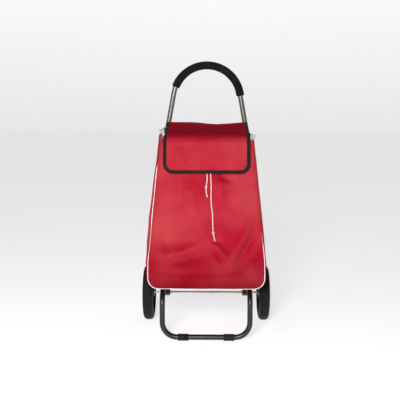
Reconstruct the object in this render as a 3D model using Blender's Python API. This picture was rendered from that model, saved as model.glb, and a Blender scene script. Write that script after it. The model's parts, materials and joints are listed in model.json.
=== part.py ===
"""Two-wheeled shopping trolley: tube frame, bent foot, wheels on an axle and a tapered fabric bag.

Metres, +Z up. The front faces -Y and the wheels turn about X. The origin is on the floor, under the
middle of the trolley's outline. "Ahead" is a distance in front of the axle.
"""
import math

import bmesh
import bpy
from mathutils import Matrix, Vector

# clearances
GAP = 0.0003              # between two pieces that touch
REST_GAP = 0.0005         # between a soft piece and what it lies on

# wheels and axle
WHEEL_RADIUS = 0.100
WHEEL_WIDTH = 0.038
WHEEL_OUTSIDE_BAG = 0.0125    # from the bag's side to the middle of a wheel
TYRE_DEPTH = 0.024
RIM_SEAT_WIDTH = 0.024
RIM_WALL = 0.007
WEB_THICKNESS = 0.006
HUB_RADIUS = 0.017
HUB_LENGTH = 0.034
SPOKE_COUNT = 5
SPOKE_WIDTH = 0.016
BUSH_WALL = 0.0025
AXLE_RADIUS = 0.0035
AXLE_SHOULDER_RADIUS = 0.0052
AXLE_SHOULDER_WIDTH = 0.002
WASHER_RADIUS = 0.010
WASHER_THICKNESS = 0.0015
CAP_RADIUS = 0.012
CAP_THICKNESS = 0.0012

# tubes of the frame
TUBE_RADIUS = 0.009
TUBE_WALL = 0.0015
FRAME_INSIDE_WHEEL = 0.0638   # from the middle of a wheel to the middle of a tube
UPRIGHT_AHEAD = 0.030
UPRIGHT_BELOW_HINGE = 0.122   # the uprights end this far under the flap's hinge
UPRIGHT_FOOT_ABOVE_AXLE = 0.006
SWAGE_LENGTH = 0.045
SWAGE_RAMP = 0.004
CROSSBAR_RADIUS = 0.006
UPPER_CROSSBAR_BELOW_TOP = 0.040
LOWER_CROSSBAR_Z = 0.260

# handle
ARCH_RADIUS = 0.1185
ARCH_ABOVE_UPRIGHT = 0.204    # from the uprights' top to the arch's middle
FLARE_BEND_RADIUS = 0.060
FLARE_BEND_ABOVE_UPRIGHT = 0.0596
GRIP_RADIUS = 0.014
GRIP_LEFT_END = math.radians(180.0 - 21.2)
GRIP_RIGHT_RUN = 0.009    # how far the grip reaches down the right leg, past the arch

# bent foot
RAIL_BELOW_WHEEL_TOP = 0.037
LEG_AHEAD = 0.261
FOOT_BEND_RADIUS = 0.050
SLEEVE_RADIUS = 0.012
SLEEVE_LENGTH = 0.035
SLEEVE_FROM_BEND = 0.002
SLEEVE_SOLE_CUT = 0.001
SLAT_THICKNESS = 0.005
SLAT_WIDTH = 0.020
SLAT_AHEAD = (0.110, 0.195)

# axle brackets
BRACKET_WALL = 0.003
BRACKET_BOSS_RADIUS = 0.013
BRACKET_TOP_ABOVE_RAIL = 0.029
BRACKET_ARM_LENGTH = 0.030
BOLT_RADIUS = 0.0025
BOLT_HEAD_RADIUS = 0.0045
BOLT_HEAD_HEIGHT = 0.003
SCREW_RADIUS = 0.002
SCREW_HEAD_RADIUS = 0.004
SCREW_HEAD_HEIGHT = 0.0025
SCREW_BELOW_JOINT = 0.022

# bag
BAG_BACK_GAP = 0.006
BAG_FRONT_BOTTOM_AHEAD = 0.275
BAG_FRONT_TOP_AHEAD = 0.2206
BAG_HALF_WIDTH = 0.197
BAG_TOP_NARROWER = 0.042      # on each side, at the height of the fold
BAG_BELLY_HEIGHT = 0.085
BAG_WALL = 0.003
BAG_LOWER_CORNER = 0.034
BAG_BOTTOM_EDGE = 0.008
BAG_UPRIGHT_CORNER = 0.016
BOARD_THICKNESS = 0.003
PIPING_RADIUS = 0.0025
PIPING_INSET = 0.004
COLLAR_WALL = 0.002
COLLAR_INSET = 0.0015
RIM_BELOW_FLAP = 0.022
COLLAR_BELOW_FLAP = 0.008

# flap
FLAP_INSIDE_BAG = 0.012
FLAP_THICKNESS = 0.004
FLAP_HINGE_Z = 0.722
FLAP_FALL = 0.047
FLAP_DROP = 0.120
FLAP_CORNER = 0.033
FLAP_CLEARANCE = 0.008
FOLD_GAP = 0.0022
BINDING_WIDTH = 0.010
BINDING_THICKNESS = 0.005
HEM_THICKNESS = 0.003
HEM_HEIGHT = 0.055
HEM_INSIDE_FLAP = 0.015
PATCH_LENGTH = 0.080
PATCH_HEIGHT = 0.020
PATCH_THICKNESS = 0.0015
PATCH_ABOVE_EDGE = 0.020

# straps at the back
STRAP_X = 0.085
STRAP_WIDTH = 0.025
STRAP_THICKNESS = 0.002
STRAP_DROP = 0.030
STUD_RADIUS = 0.006
STUD_HEIGHT = 0.0015

# drawcords
CORD_RADIUS = 0.002
OUTLET_RADIUS = 0.0034
OUTLET_LENGTH = 0.012
OUTLET_X = 0.012
OUTLET_BELOW_FOLD = 0.043
KNOT_RADIUS = 0.0046
KNOT_LENGTH = 0.009
CORD_STEP = 0.010

# numbers of sides
WHEEL_SIDES = 40
TUBE_SIDES = 12
SMALL_SIDES = 12
CORNER_STEPS = 4

# sizes that follow from the ones above
WHEEL_MIDDLE_X = BAG_HALF_WIDTH + WHEEL_OUTSIDE_BAG
FRAME_HALF_WIDTH = WHEEL_MIDDLE_X - FRAME_INSIDE_WHEEL
UPRIGHT_TOP_Z = FLAP_HINGE_Z - UPRIGHT_BELOW_HINGE
UPPER_CROSSBAR_Z = UPRIGHT_TOP_Z - UPPER_CROSSBAR_BELOW_TOP
ARCH_MIDDLE_Z = UPRIGHT_TOP_Z + ARCH_ABOVE_UPRIGHT
BAG_TOP_HALF_WIDTH = BAG_HALF_WIDTH - BAG_TOP_NARROWER
FLAP_HALF_WIDTH = BAG_TOP_HALF_WIDTH - FLAP_INSIDE_BAG
FLAP_FOLD_Z = FLAP_HINGE_Z - FLAP_FALL
OUTLET_MOUTH_Z = FLAP_FOLD_Z - OUTLET_BELOW_FOLD
HEM_HALF_WIDTH = FLAP_HALF_WIDTH - HEM_INSIDE_FLAP
BAG_BACK_AHEAD = UPRIGHT_AHEAD + TUBE_RADIUS + BAG_BACK_GAP
FRONT_REACH = BAG_FRONT_BOTTOM_AHEAD + REST_GAP + 2 * PIPING_RADIUS
AXLE_Y = (FRONT_REACH - WHEEL_RADIUS) / 2
AXLE_Z = WHEEL_RADIUS
RAIL_Z = 2 * WHEEL_RADIUS - RAIL_BELOW_WHEEL_TOP
UPRIGHT_Y = AXLE_Y - UPRIGHT_AHEAD
UPRIGHT_FOOT_Z = AXLE_Z + UPRIGHT_FOOT_ABOVE_AXLE
BRACKET_TOP_Z = RAIL_Z + BRACKET_TOP_ABOVE_RAIL
BAR_Z = SLEEVE_RADIUS - SLEEVE_SOLE_CUT
SLEEVE_X = FRAME_HALF_WIDTH - FOOT_BEND_RADIUS - SLEEVE_FROM_BEND - SLEEVE_LENGTH / 2
SLAT_BOTTOM_Z = RAIL_Z + TUBE_RADIUS + GAP
BAG_BOTTOM_Z = SLAT_BOTTOM_Z + SLAT_THICKNESS + REST_GAP
FLAP_HINGE_AHEAD = BAG_BACK_AHEAD - GAP - HEM_THICKNESS / 2
BRACKET_HALF_DEPTH = TUBE_RADIUS + GAP + BRACKET_WALL
BRACKET_ARM_FRONT = UPRIGHT_AHEAD + BRACKET_HALF_DEPTH + BRACKET_ARM_LENGTH + BRACKET_WALL
RAIL_END_AHEAD = UPRIGHT_AHEAD + BRACKET_HALF_DEPTH + BRACKET_WALL


def ahead(distance):
    """Y of a point that lies this far in front of the axle."""
    return AXLE_Y - distance


def flare():
    """Lean of the handle's legs, which are tangent to the arch and to the bends above the uprights."""
    across = FRAME_HALF_WIDTH - FLARE_BEND_RADIUS
    up = ARCH_ABOVE_UPRIGHT - FLARE_BEND_ABOVE_UPRIGHT
    apart = math.hypot(across, up)
    return math.atan2(across, up) - math.asin((ARCH_RADIUS - FLARE_BEND_RADIUS) / apart)


def front_slope():
    """How far the bag's front leans back for each metre of height."""
    rim_front = FLAP_FOLD_Z - RIM_BELOW_FLAP + REST_GAP
    return (BAG_FRONT_BOTTOM_AHEAD - BAG_FRONT_TOP_AHEAD) / (rim_front - BAG_BOTTOM_Z)


def front_ahead(z):
    """Distance of the bag's front face ahead of the axle, at a height."""
    return BAG_FRONT_BOTTOM_AHEAD - (z - BAG_BOTTOM_Z) * front_slope()


def fold_ahead():
    """The flap's fold lies on the middle plane of its front panel."""
    lean = math.atan(front_slope())
    return front_ahead(FLAP_FOLD_Z) + (FLAP_CLEARANCE + FLAP_THICKNESS / 2) / math.cos(lean)


def flap_line(distance):
    """Height of the flap's top panel above a point that lies this far ahead of the axle."""
    share = (distance - FLAP_HINGE_AHEAD) / (fold_ahead() - FLAP_HINGE_AHEAD)
    return FLAP_HINGE_Z + share * (FLAP_FOLD_Z - FLAP_HINGE_Z)


def half_width(z):
    """Half width of the bag: constant over its belly, then tapering to the top."""
    belly = BAG_BOTTOM_Z + BAG_BELLY_HEIGHT
    share = max(0.0, (z - belly) / (FLAP_FOLD_Z - belly))
    return BAG_HALF_WIDTH + share * (BAG_TOP_HALF_WIDTH - BAG_HALF_WIDTH)


# ---------------------------------------------------------------- building blocks

def clear_scene():
    for found in list(bpy.data.objects):
        bpy.data.objects.remove(found, do_unlink=True)


def make_material(name, colour, roughness, metallic=0.0):
    material = bpy.data.materials.new(name)
    material.use_nodes = True
    shader = material.node_tree.nodes["Principled BSDF"]
    shader.inputs["Base Color"].default_value = (*colour, 1.0)
    shader.inputs["Roughness"].default_value = roughness
    shader.inputs["Metallic"].default_value = metallic
    return material


def add_object(name, mesh_data, material, location=(0, 0, 0), rotation=(0, 0, 0)):
    made = bpy.data.objects.new(name, mesh_data)
    made.location = location
    made.rotation_euler = rotation
    bpy.context.scene.collection.objects.link(made)
    if material is not None:
        mesh_data.materials.append(material)
    return made


def loft(name, rings, material, closed=False, location=(0, 0, 0), rotation=(0, 0, 0)):
    """Skin a row of equal rings. Open rows are capped, closed rows join last to first."""
    shape = bmesh.new()
    rows = [[shape.verts.new(point) for point in ring] for ring in rings]
    pairs = list(zip(rows, rows[1:]))
    if closed:
        pairs.append((rows[-1], rows[0]))
    for low, high in pairs:
        for i in range(len(low)):
            j = (i + 1) % len(low)
            shape.faces.new((low[i], low[j], high[j], high[i]))
    if not closed:
        shape.faces.new(rows[0])
        shape.faces.new(rows[-1])
    bmesh.ops.recalc_face_normals(shape, faces=shape.faces)
    mesh = bpy.data.meshes.new(name)
    shape.to_mesh(mesh)
    shape.free()
    mesh.shade_smooth()
    mesh.set_sharp_from_angle(angle=math.radians(40))
    return add_object(name, mesh, material, location, rotation)


def circle(radius, along, sides):
    """A ring of points about Z, at a height."""
    turns = [2 * math.pi * i / sides for i in range(sides)]
    return [(radius * math.cos(a), radius * math.sin(a), along) for a in turns]


def turned(name, profile, material, sides=SMALL_SIDES, hollow=False, **place):
    """A turned piece about Z from (radius, along) pairs: a solid, or a ring if hollow."""
    rings = [circle(radius, along, sides) for radius, along in profile]
    return loft(name, rings, material, closed=hollow, **place)


def tube_profile(outer, inner, low, high):
    return [(outer, low), (outer, high), (inner, high), (inner, low)]


def prism(name, outline, low, high, material, **place):
    """Extrude an outline of (y, z) pairs along X."""
    rings = [[(x, y, z) for y, z in outline] for x in (low, high)]
    return loft(name, rings, material, **place)


def ring_prism(name, outer, inner, low, high, material, **place):
    """Extrude the space between two equal outlines of (y, z) pairs along X."""
    stations = [(outer, low), (outer, high), (inner, high), (inner, low)]
    rings = [[(x, y, z) for y, z in outline] for outline, x in stations]
    return loft(name, rings, material, closed=True, **place)


def arc(centre, u, v, radius, start, stop, steps):
    """Points on an arc in the plane of the unit vectors u and v."""
    points = []
    for i in range(steps + 1):
        a = start + (stop - start) * i / steps
        points.append(Vector(centre) + radius * (math.cos(a) * Vector(u) + math.sin(a) * Vector(v)))
    return points


def sections(route, radii, sides):
    """Circles across a route, turned with it without twist."""
    rings = []
    normal = None
    last = None
    for i, point in enumerate(route):
        before = route[max(i - 1, 0)]
        after = route[min(i + 1, len(route) - 1)]
        along = (after - before).normalized()
        if normal is None:
            normal = along.orthogonal().normalized()
        else:
            normal = last.rotation_difference(along) @ normal
        side = along.cross(normal).normalized()
        last = along
        turns = [2 * math.pi * k / sides for k in range(sides)]
        rings.append([point + radii[i] * (math.cos(a) * normal + math.sin(a) * side) for a in turns])
    return rings


def swept(name, route, radii, material, wall=None, sides=TUBE_SIDES):
    """A round bar along a route, or a tube if it has a wall."""
    outside = sections(route, radii, sides)
    if wall is None:
        return loft(name, outside, material)
    inside = sections(route, [r - wall for r in radii], sides)
    return loft(name, outside + inside[::-1], material, closed=True)


def cut(target, cutter):
    """Take the cutter's shape out of the target."""
    cutter.hide_render = True
    cutter.display_type = "WIRE"
    step = target.modifiers.new("cut_" + cutter.name, "BOOLEAN")
    step.operation = "DIFFERENCE"
    step.object = cutter


def drill(target, name, start, end, radius, sides=SMALL_SIDES):
    """A round hole from one point to another."""
    reach = Vector(end) - Vector(start)
    turn = reach.to_track_quat("Z", "X").to_euler()
    cutter = turned(name, [(radius, 0), (radius, reach.length)], None, sides, location=start, rotation=turn)
    cut(target, cutter)


# ---------------------------------------------------------------- wheels and axle

ALONG_X = (0, math.pi / 2, 0)
ALONG_Y = (math.pi / 2, 0, 0)


def tyre_profile():
    """Half round section of a soft tyre with a narrow tread."""
    seat = WHEEL_RADIUS - TYRE_DEPTH + GAP
    side = WHEEL_WIDTH / 2
    half = [
        (seat, RIM_SEAT_WIDTH / 2),
        (seat + 0.30 * TYRE_DEPTH, 0.95 * side),
        (seat + 0.54 * TYRE_DEPTH, side),
        (seat + 0.77 * TYRE_DEPTH, 0.87 * side),
        (seat + 0.93 * TYRE_DEPTH, 0.61 * side),
        (WHEEL_RADIUS, 0.30 * side),
    ]
    return half + [(radius, -along) for radius, along in reversed(half)]


def rim_profile():
    """Hub barrel, thin web and outer seat, as one section."""
    bore = AXLE_RADIUS + BUSH_WALL + 2 * GAP
    outer = WHEEL_RADIUS - TYRE_DEPTH
    inner = outer - RIM_WALL
    half = [
        (bore, HUB_LENGTH / 2),
        (HUB_RADIUS, HUB_LENGTH / 2),
        (HUB_RADIUS, WEB_THICKNESS / 2),
        (inner, WEB_THICKNESS / 2),
        (inner, RIM_SEAT_WIDTH / 2),
        (outer, RIM_SEAT_WIDTH / 2),
    ]
    return half + [(radius, -along) for radius, along in reversed(half)]


def window_outline(turn):
    """The opening between two spokes, as points about the wheel's axis."""
    low = HUB_RADIUS + SPOKE_WIDTH / 2
    high = WHEEL_RADIUS - TYRE_DEPTH - RIM_WALL - SPOKE_WIDTH / 3
    pitch = 2 * math.pi / SPOKE_COUNT
    points = []
    for radius, direction in ((low, 1), (high, -1)):
        reach = pitch / 2 - math.asin(SPOKE_WIDTH / 2 / radius)
        for i in range(CORNER_STEPS + 1):
            a = turn + direction * reach * (2 * i / CORNER_STEPS - 1)
            points.append((radius * math.cos(a), radius * math.sin(a)))
    return points


def add_wheel(side, sign, materials):
    middle = (sign * WHEEL_MIDDLE_X, AXLE_Y, AXLE_Z)
    place = {"location": middle, "rotation": ALONG_X}
    turned(side + "_tyre", tyre_profile(), materials["tyre"], WHEEL_SIDES, True, **place)
    rim = turned(side + "_rim", rim_profile(), materials["rim"], WHEEL_SIDES, True, **place)
    for k in range(SPOKE_COUNT):
        outline = window_outline(2 * math.pi * k / SPOKE_COUNT)
        rings = [[(x, y, z) for x, y in outline] for z in (-WEB_THICKNESS, WEB_THICKNESS)]
        cut(rim, loft(f"{side}_window_{k}", rings, None, **place))
    bush = tube_profile(AXLE_RADIUS + GAP + BUSH_WALL, AXLE_RADIUS + GAP, -HUB_LENGTH / 2, HUB_LENGTH / 2)
    turned(side + "_bush", bush, materials["bush"], SMALL_SIDES * 2, True, **place)


def add_hub_cap(side, sign, material):
    """Dished cap that closes the hub's outer end."""
    inner = HUB_LENGTH / 2 + GAP
    outer = inner + CAP_THICKNESS
    profile = [(CAP_RADIUS, inner), (CAP_RADIUS, outer - CAP_THICKNESS / 3), (CAP_RADIUS * 0.8, outer)]
    turn = (0, sign * math.pi / 2, 0)
    place = {"location": (sign * WHEEL_MIDDLE_X, AXLE_Y, AXLE_Z), "rotation": turn}
    turned(side + "_hub_cap", profile, material, SMALL_SIDES * 2, **place)


def add_axle(material):
    """Steel rod with a shoulder that keeps each wheel out from the frame."""
    hub_inside = WHEEL_MIDDLE_X - HUB_LENGTH / 2
    end = WHEEL_MIDDLE_X + HUB_LENGTH / 2
    shoulder_out = hub_inside - WASHER_THICKNESS - 2 * GAP
    shoulder_in = shoulder_out - AXLE_SHOULDER_WIDTH
    half = [
        (AXLE_SHOULDER_RADIUS, shoulder_in),
        (AXLE_SHOULDER_RADIUS, shoulder_out),
        (AXLE_RADIUS, shoulder_out),
        (AXLE_RADIUS, end),
    ]
    full = [(radius, -along) for radius, along in reversed([(AXLE_RADIUS, shoulder_in)] + half)]
    full += [(AXLE_RADIUS, shoulder_in)] + half
    turned("axle", full, material, SMALL_SIDES * 2, location=(0, AXLE_Y, AXLE_Z), rotation=ALONG_X)


def add_washer(side, sign, material):
    outside = WHEEL_MIDDLE_X - HUB_LENGTH / 2 - GAP
    profile = tube_profile(WASHER_RADIUS, AXLE_RADIUS + GAP, outside - WASHER_THICKNESS, outside)
    turn = (0, sign * math.pi / 2, 0)
    place = {"location": (0, AXLE_Y, AXLE_Z), "rotation": turn}
    turned(side + "_washer", profile, material, SMALL_SIDES * 2, True, **place)


# ---------------------------------------------------------------- frame

def handle_half():
    """Centre line of the right half of the handle, from its lower end to the top."""
    foot_x = FRAME_HALF_WIDTH
    joint = UPRIGHT_TOP_Z
    lean = flare()
    low = [Vector((foot_x, UPRIGHT_Y, joint - SWAGE_LENGTH)), Vector((foot_x, UPRIGHT_Y, joint + GAP))]
    low.append(Vector((foot_x, UPRIGHT_Y, joint + GAP + SWAGE_RAMP)))
    centre = (foot_x - FLARE_BEND_RADIUS, UPRIGHT_Y, joint + FLARE_BEND_ABOVE_UPRIGHT)
    bend = arc(centre, (1, 0, 0), (0, 0, 1), FLARE_BEND_RADIUS, 0, lean, 2)
    arch = arc((0, UPRIGHT_Y, ARCH_MIDDLE_Z), (1, 0, 0), (0, 0, 1), ARCH_RADIUS, lean, math.pi / 2, 9)
    return low + bend + arch


def add_handle(material):
    half = handle_half()
    route = half + [Vector((-p.x, p.y, p.z)) for p in reversed(half[:-1])]
    swage = TUBE_RADIUS - TUBE_WALL - GAP
    radii = [TUBE_RADIUS] * len(route)
    for i in (0, 1, -1, -2):
        radii[i] = swage
    tube = swept("handle_tube", route, radii, material, TUBE_WALL)
    for side, sign in (("left", -1), ("right", 1)):
        screw_hole(tube, f"handle_hole_{side}", sign)


def screw_hole(target, name, sign):
    """Cross hole for the screw that joins the handle to an upright."""
    z = UPRIGHT_TOP_Z - SCREW_BELOW_JOINT
    reach = 2 * TUBE_RADIUS
    start = (sign * FRAME_HALF_WIDTH, UPRIGHT_Y - reach, z)
    end = (sign * FRAME_HALF_WIDTH, UPRIGHT_Y + reach, z)
    drill(target, name, start, end, SCREW_RADIUS + GAP)


def add_grip(material):
    """Foam sleeve over the arch. It reaches lower on the right than on the left."""
    steps = 16
    lean = flare()
    centre = (0, UPRIGHT_Y, ARCH_MIDDLE_Z)
    arch = arc(centre, (1, 0, 0), (0, 0, 1), ARCH_RADIUS, lean, GRIP_LEFT_END, steps)
    leg = Vector((math.sin(lean), 0, -math.cos(lean))) * GRIP_RIGHT_RUN
    route = [arch[0] + leg] + arch
    sag = ARCH_RADIUS * (1 - math.cos((GRIP_LEFT_END - lean) / steps))
    wall = GRIP_RADIUS - TUBE_RADIUS - GAP - sag
    swept("foam_grip", route, [GRIP_RADIUS] * len(route), material, wall, TUBE_SIDES + 2)


def add_upright(side, sign, materials):
    profile = tube_profile(TUBE_RADIUS, TUBE_RADIUS - TUBE_WALL, UPRIGHT_FOOT_Z, UPRIGHT_TOP_Z)
    place = {"location": (sign * FRAME_HALF_WIDTH, UPRIGHT_Y, 0)}
    upright = turned(side + "_upright", profile, materials["tube"], TUBE_SIDES * 2, True, **place)
    screw_hole(upright, f"upright_hole_{side}", sign)
    tail = TUBE_RADIUS + GAP
    shaft = [
        (SCREW_HEAD_RADIUS, tail + SCREW_HEAD_HEIGHT),
        (SCREW_HEAD_RADIUS, tail),
        (SCREW_RADIUS, tail),
        (SCREW_RADIUS, -tail),
    ]
    centre = (sign * FRAME_HALF_WIDTH, UPRIGHT_Y, UPRIGHT_TOP_Z - SCREW_BELOW_JOINT)
    back = (-math.pi / 2, 0, 0)
    turned(side + "_handle_screw", shaft, materials["steel"], location=centre, rotation=back)


def add_crossbar(name, z, material):
    reach = FRAME_HALF_WIDTH - TUBE_RADIUS - GAP
    profile = [(CROSSBAR_RADIUS, -reach), (CROSSBAR_RADIUS, reach)]
    turned(name, profile, material, location=(0, UPRIGHT_Y, z), rotation=ALONG_X)


def bracket_outline():
    """Side view of an axle bracket: boss, post for the upright and arm for the rail."""
    post_back = ahead(UPRIGHT_AHEAD - BRACKET_HALF_DEPTH)
    post_front = ahead(UPRIGHT_AHEAD + BRACKET_HALF_DEPTH)
    arm_front = ahead(BRACKET_ARM_FRONT)
    arm_half = TUBE_RADIUS + GAP + BRACKET_WALL
    foot_z = UPRIGHT_FOOT_Z - GAP - BRACKET_WALL
    boss = arc((AXLE_Y, AXLE_Z, 0), (1, 0, 0), (0, 1, 0), BRACKET_BOSS_RADIUS, -math.pi / 2, math.pi / 2, 6)
    outline = [(p.x, p.y) for p in boss]
    outline += [
        (post_back, AXLE_Z + BRACKET_BOSS_RADIUS + 2 * BRACKET_HALF_DEPTH),
        (post_back, BRACKET_TOP_Z),
        (post_front, BRACKET_TOP_Z),
        (post_front, RAIL_Z + arm_half),
        (arm_front, RAIL_Z + arm_half),
        (arm_front, RAIL_Z - arm_half),
        (post_front - BRACKET_WALL, RAIL_Z - arm_half),
        (post_front, RAIL_Z - arm_half - BRACKET_HALF_DEPTH),
        (post_front, foot_z),
    ]
    return outline


def add_bracket(side, sign, materials):
    inner = FRAME_HALF_WIDTH - BRACKET_HALF_DEPTH
    outer = FRAME_HALF_WIDTH + BRACKET_HALF_DEPTH
    low, high = sorted((sign * inner, sign * outer))
    bracket = prism(side + "_axle_bracket", bracket_outline(), low, high, materials["plastic"])
    x = sign * FRAME_HALF_WIDTH
    hole = TUBE_RADIUS + GAP
    start = (x, UPRIGHT_Y, UPRIGHT_FOOT_Z - GAP)
    end = (x, UPRIGHT_Y, BRACKET_TOP_Z + BRACKET_WALL)
    drill(bracket, side + "_post_hole", start, end, hole, TUBE_SIDES * 2)
    start = (x, ahead(RAIL_END_AHEAD - GAP), RAIL_Z)
    end = (x, ahead(BRACKET_ARM_FRONT + BRACKET_WALL), RAIL_Z)
    drill(bracket, side + "_rail_hole", start, end, hole, TUBE_SIDES * 2)
    axle_hole = AXLE_RADIUS + GAP
    start = (sign * (inner - BRACKET_WALL), AXLE_Y, AXLE_Z)
    end = (sign * (outer + BRACKET_WALL), AXLE_Y, AXLE_Z)
    drill(bracket, side + "_axle_hole", start, end, axle_hole, SMALL_SIDES * 2)
    bolt_hole(bracket, side + "_bracket_bolt_hole", sign)
    add_bolt(side, sign, materials["steel"])


def bolt_ahead():
    """The bolt crosses the middle of the bracket's arm."""
    return (RAIL_END_AHEAD + BRACKET_ARM_FRONT) / 2


def bolt_hole(target, name, sign):
    reach = BRACKET_HALF_DEPTH + BRACKET_WALL
    y = ahead(bolt_ahead())
    start = (sign * FRAME_HALF_WIDTH - reach, y, RAIL_Z)
    end = (sign * FRAME_HALF_WIDTH + reach, y, RAIL_Z)
    drill(target, name, start, end, BOLT_RADIUS + GAP)


def add_bolt(side, sign, material):
    """Through bolt with its nut, which clamps the foot's rail in the bracket."""
    face = BRACKET_HALF_DEPTH + GAP
    tip = face + BOLT_HEAD_HEIGHT
    profile = [
        (BOLT_HEAD_RADIUS, -tip),
        (BOLT_HEAD_RADIUS, -face),
        (BOLT_RADIUS, -face),
        (BOLT_RADIUS, face),
        (BOLT_HEAD_RADIUS, face),
        (BOLT_HEAD_RADIUS, tip),
    ]
    centre = (sign * FRAME_HALF_WIDTH, ahead(bolt_ahead()), RAIL_Z)
    turned(side + "_bracket_bolt", profile, material, location=centre, rotation=ALONG_X)


# ---------------------------------------------------------------- foot

def foot_half():
    """Centre line of the right half of the foot, from the bracket to the middle of the bar."""
    x = FRAME_HALF_WIDTH
    r = FOOT_BEND_RADIUS
    leg_y = ahead(LEG_AHEAD)
    quarter = math.pi / 2
    start = [Vector((x, ahead(RAIL_END_AHEAD), RAIL_Z))]
    knee = arc((x, leg_y + r, RAIL_Z - r), (0, 0, 1), (0, -1, 0), r, 0, quarter, 5)
    ankle = arc((x - r, leg_y, BAR_Z + r), (1, 0, 0), (0, 0, -1), r, 0, quarter, 5)
    return start + knee + ankle


def add_foot(materials):
    half = foot_half()
    route = half + [Vector((-p.x, p.y, p.z)) for p in reversed(half)]
    foot = swept("foot_frame", route, [TUBE_RADIUS] * len(route), materials["tube"], TUBE_WALL)
    for side, sign in (("left", -1), ("right", 1)):
        bolt_hole(foot, side + "_foot_bolt_hole", sign)
        add_sleeve(side, sign, materials["rubber"])
    for name, distance in zip(("rear_slat", "front_slat"), SLAT_AHEAD):
        add_slat(name, distance, materials["plastic"])


def add_sleeve(side, sign, material):
    """Rubber sleeve round the foot's bar, with a flat sole on the floor."""
    turns = [2 * math.pi * (i + 0.5) / (TUBE_SIDES * 2) for i in range(TUBE_SIDES * 2)]
    y = ahead(LEG_AHEAD)
    hole = TUBE_RADIUS + GAP
    round_outer = [(y + SLEEVE_RADIUS * math.cos(a), BAR_Z + SLEEVE_RADIUS * math.sin(a)) for a in turns]
    outer = [(py, max(0.0, pz)) for py, pz in round_outer]
    inner = [(y + hole * math.cos(a), BAR_Z + hole * math.sin(a)) for a in turns]
    low = sign * SLEEVE_X - SLEEVE_LENGTH / 2
    ring_prism(side + "_foot_sleeve", outer, inner, low, low + SLEEVE_LENGTH, material)


def add_slat(name, distance, material):
    """Cross piece that lies on both rails and carries the bag's floor."""
    half = FRAME_HALF_WIDTH + TUBE_RADIUS
    y = ahead(distance)
    low, high = SLAT_BOTTOM_Z, SLAT_BOTTOM_Z + SLAT_THICKNESS
    outline = [
        (y - SLAT_WIDTH / 2, low),
        (y + SLAT_WIDTH / 2, low),
        (y + SLAT_WIDTH / 2, high),
        (y - SLAT_WIDTH / 2, high),
    ]
    prism(name, outline, -half, half, material)


# ---------------------------------------------------------------- bag

def round_box(width, front, back, corner):
    """Plan outline of the bag as (x, y) points, with rounded corners."""
    points = []
    corners = [(1, front, -1), (1, back, 1), (-1, back, 1), (-1, front, -1)]
    starts = [-math.pi / 2, 0, math.pi / 2, math.pi]
    for (side, y, way), start in zip(corners, starts):
        centre = (side * (width - corner), y - way * corner)
        for i in range(CORNER_STEPS + 1):
            a = start + math.pi / 2 * i / CORNER_STEPS
            points.append((centre[0] + corner * math.cos(a), centre[1] + corner * math.sin(a)))
    return points


def rounding(radius, height):
    """How far a rounded lower edge is drawn in, at a height above the bottom."""
    if height >= radius:
        return 0.0
    return radius - math.sqrt(radius ** 2 - (radius - height) ** 2)


def bag_ring(height, inset):
    """Outline of the bag at a height above its floor, drawn in by an inset."""
    top = FLAP_FOLD_Z - RIM_BELOW_FLAP - BAG_BOTTOM_Z
    share = height / top
    z_front = BAG_BOTTOM_Z + height
    narrow = rounding(BAG_LOWER_CORNER, height)
    shallow = rounding(BAG_BOTTOM_EDGE, height)
    width = half_width(z_front) - narrow - inset
    front = ahead(front_ahead(z_front)) + shallow + inset
    back = ahead(BAG_BACK_AHEAD) - shallow - inset
    ring = []
    for x, y in round_box(width, front, back, BAG_UPRIGHT_CORNER - inset):
        rim = flap_line(AXLE_Y - y) - RIM_BELOW_FLAP
        ring.append((x, y, BAG_BOTTOM_Z + share * (rim - BAG_BOTTOM_Z)))
    return ring


def bag_heights():
    """Heights of the rings: close together round the lower corners, then one per panel."""
    top = FLAP_FOLD_Z - RIM_BELOW_FLAP - BAG_BOTTOM_Z
    curve = [BAG_LOWER_CORNER * (1 - math.cos(math.radians(a))) for a in (0, 20, 40, 65, 90)]
    return curve + [BAG_BELLY_HEIGHT, top / 3, top / 2, top * 3 / 4, top]


def add_bag(materials):
    outside = [bag_ring(height, 0.0) for height in bag_heights()]
    inside = []
    for height in bag_heights():
        ring = bag_ring(height, BAG_WALL)
        lift = BAG_WALL * (1 - height / bag_heights()[-1])
        inside.append([(x, y, z + lift) for x, y, z in ring])
    loft("bag_body", outside + inside[::-1], materials["fabric"])
    add_base_board(materials["board"])
    add_collar(materials["lining"])
    add_piping(materials["piping"])


def add_base_board(material):
    """Stiff board on the bag's floor."""
    low = BAG_BOTTOM_Z + BAG_WALL + REST_GAP
    margin = BAG_WALL + BAG_BOTTOM_EDGE + REST_GAP
    width = BAG_HALF_WIDTH - BAG_LOWER_CORNER - margin
    front = ahead(BAG_FRONT_BOTTOM_AHEAD) + margin
    back = ahead(BAG_BACK_AHEAD) - margin
    outline = round_box(width, front, back, BAG_UPRIGHT_CORNER)
    rings = [[(x, y, z) for x, y in outline] for z in (low, low + BOARD_THICKNESS)]
    loft("base_board", rings, material)


def add_collar(material):
    """Thin drawstring collar that stands on the bag's rim, under the flap."""
    top = FLAP_FOLD_Z - RIM_BELOW_FLAP - BAG_BOTTOM_Z
    rings = []
    for inset, below in (
        (COLLAR_INSET, RIM_BELOW_FLAP - GAP),
        (COLLAR_INSET, COLLAR_BELOW_FLAP),
        (COLLAR_INSET + COLLAR_WALL, COLLAR_BELOW_FLAP),
        (COLLAR_INSET + COLLAR_WALL, RIM_BELOW_FLAP - GAP),
    ):
        ring = bag_ring(top, inset)
        rings.append([(x, y, flap_line(AXLE_Y - y) - below) for x, y, _ in ring])
    loft("drawstring_collar", rings, material, closed=True)


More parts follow.
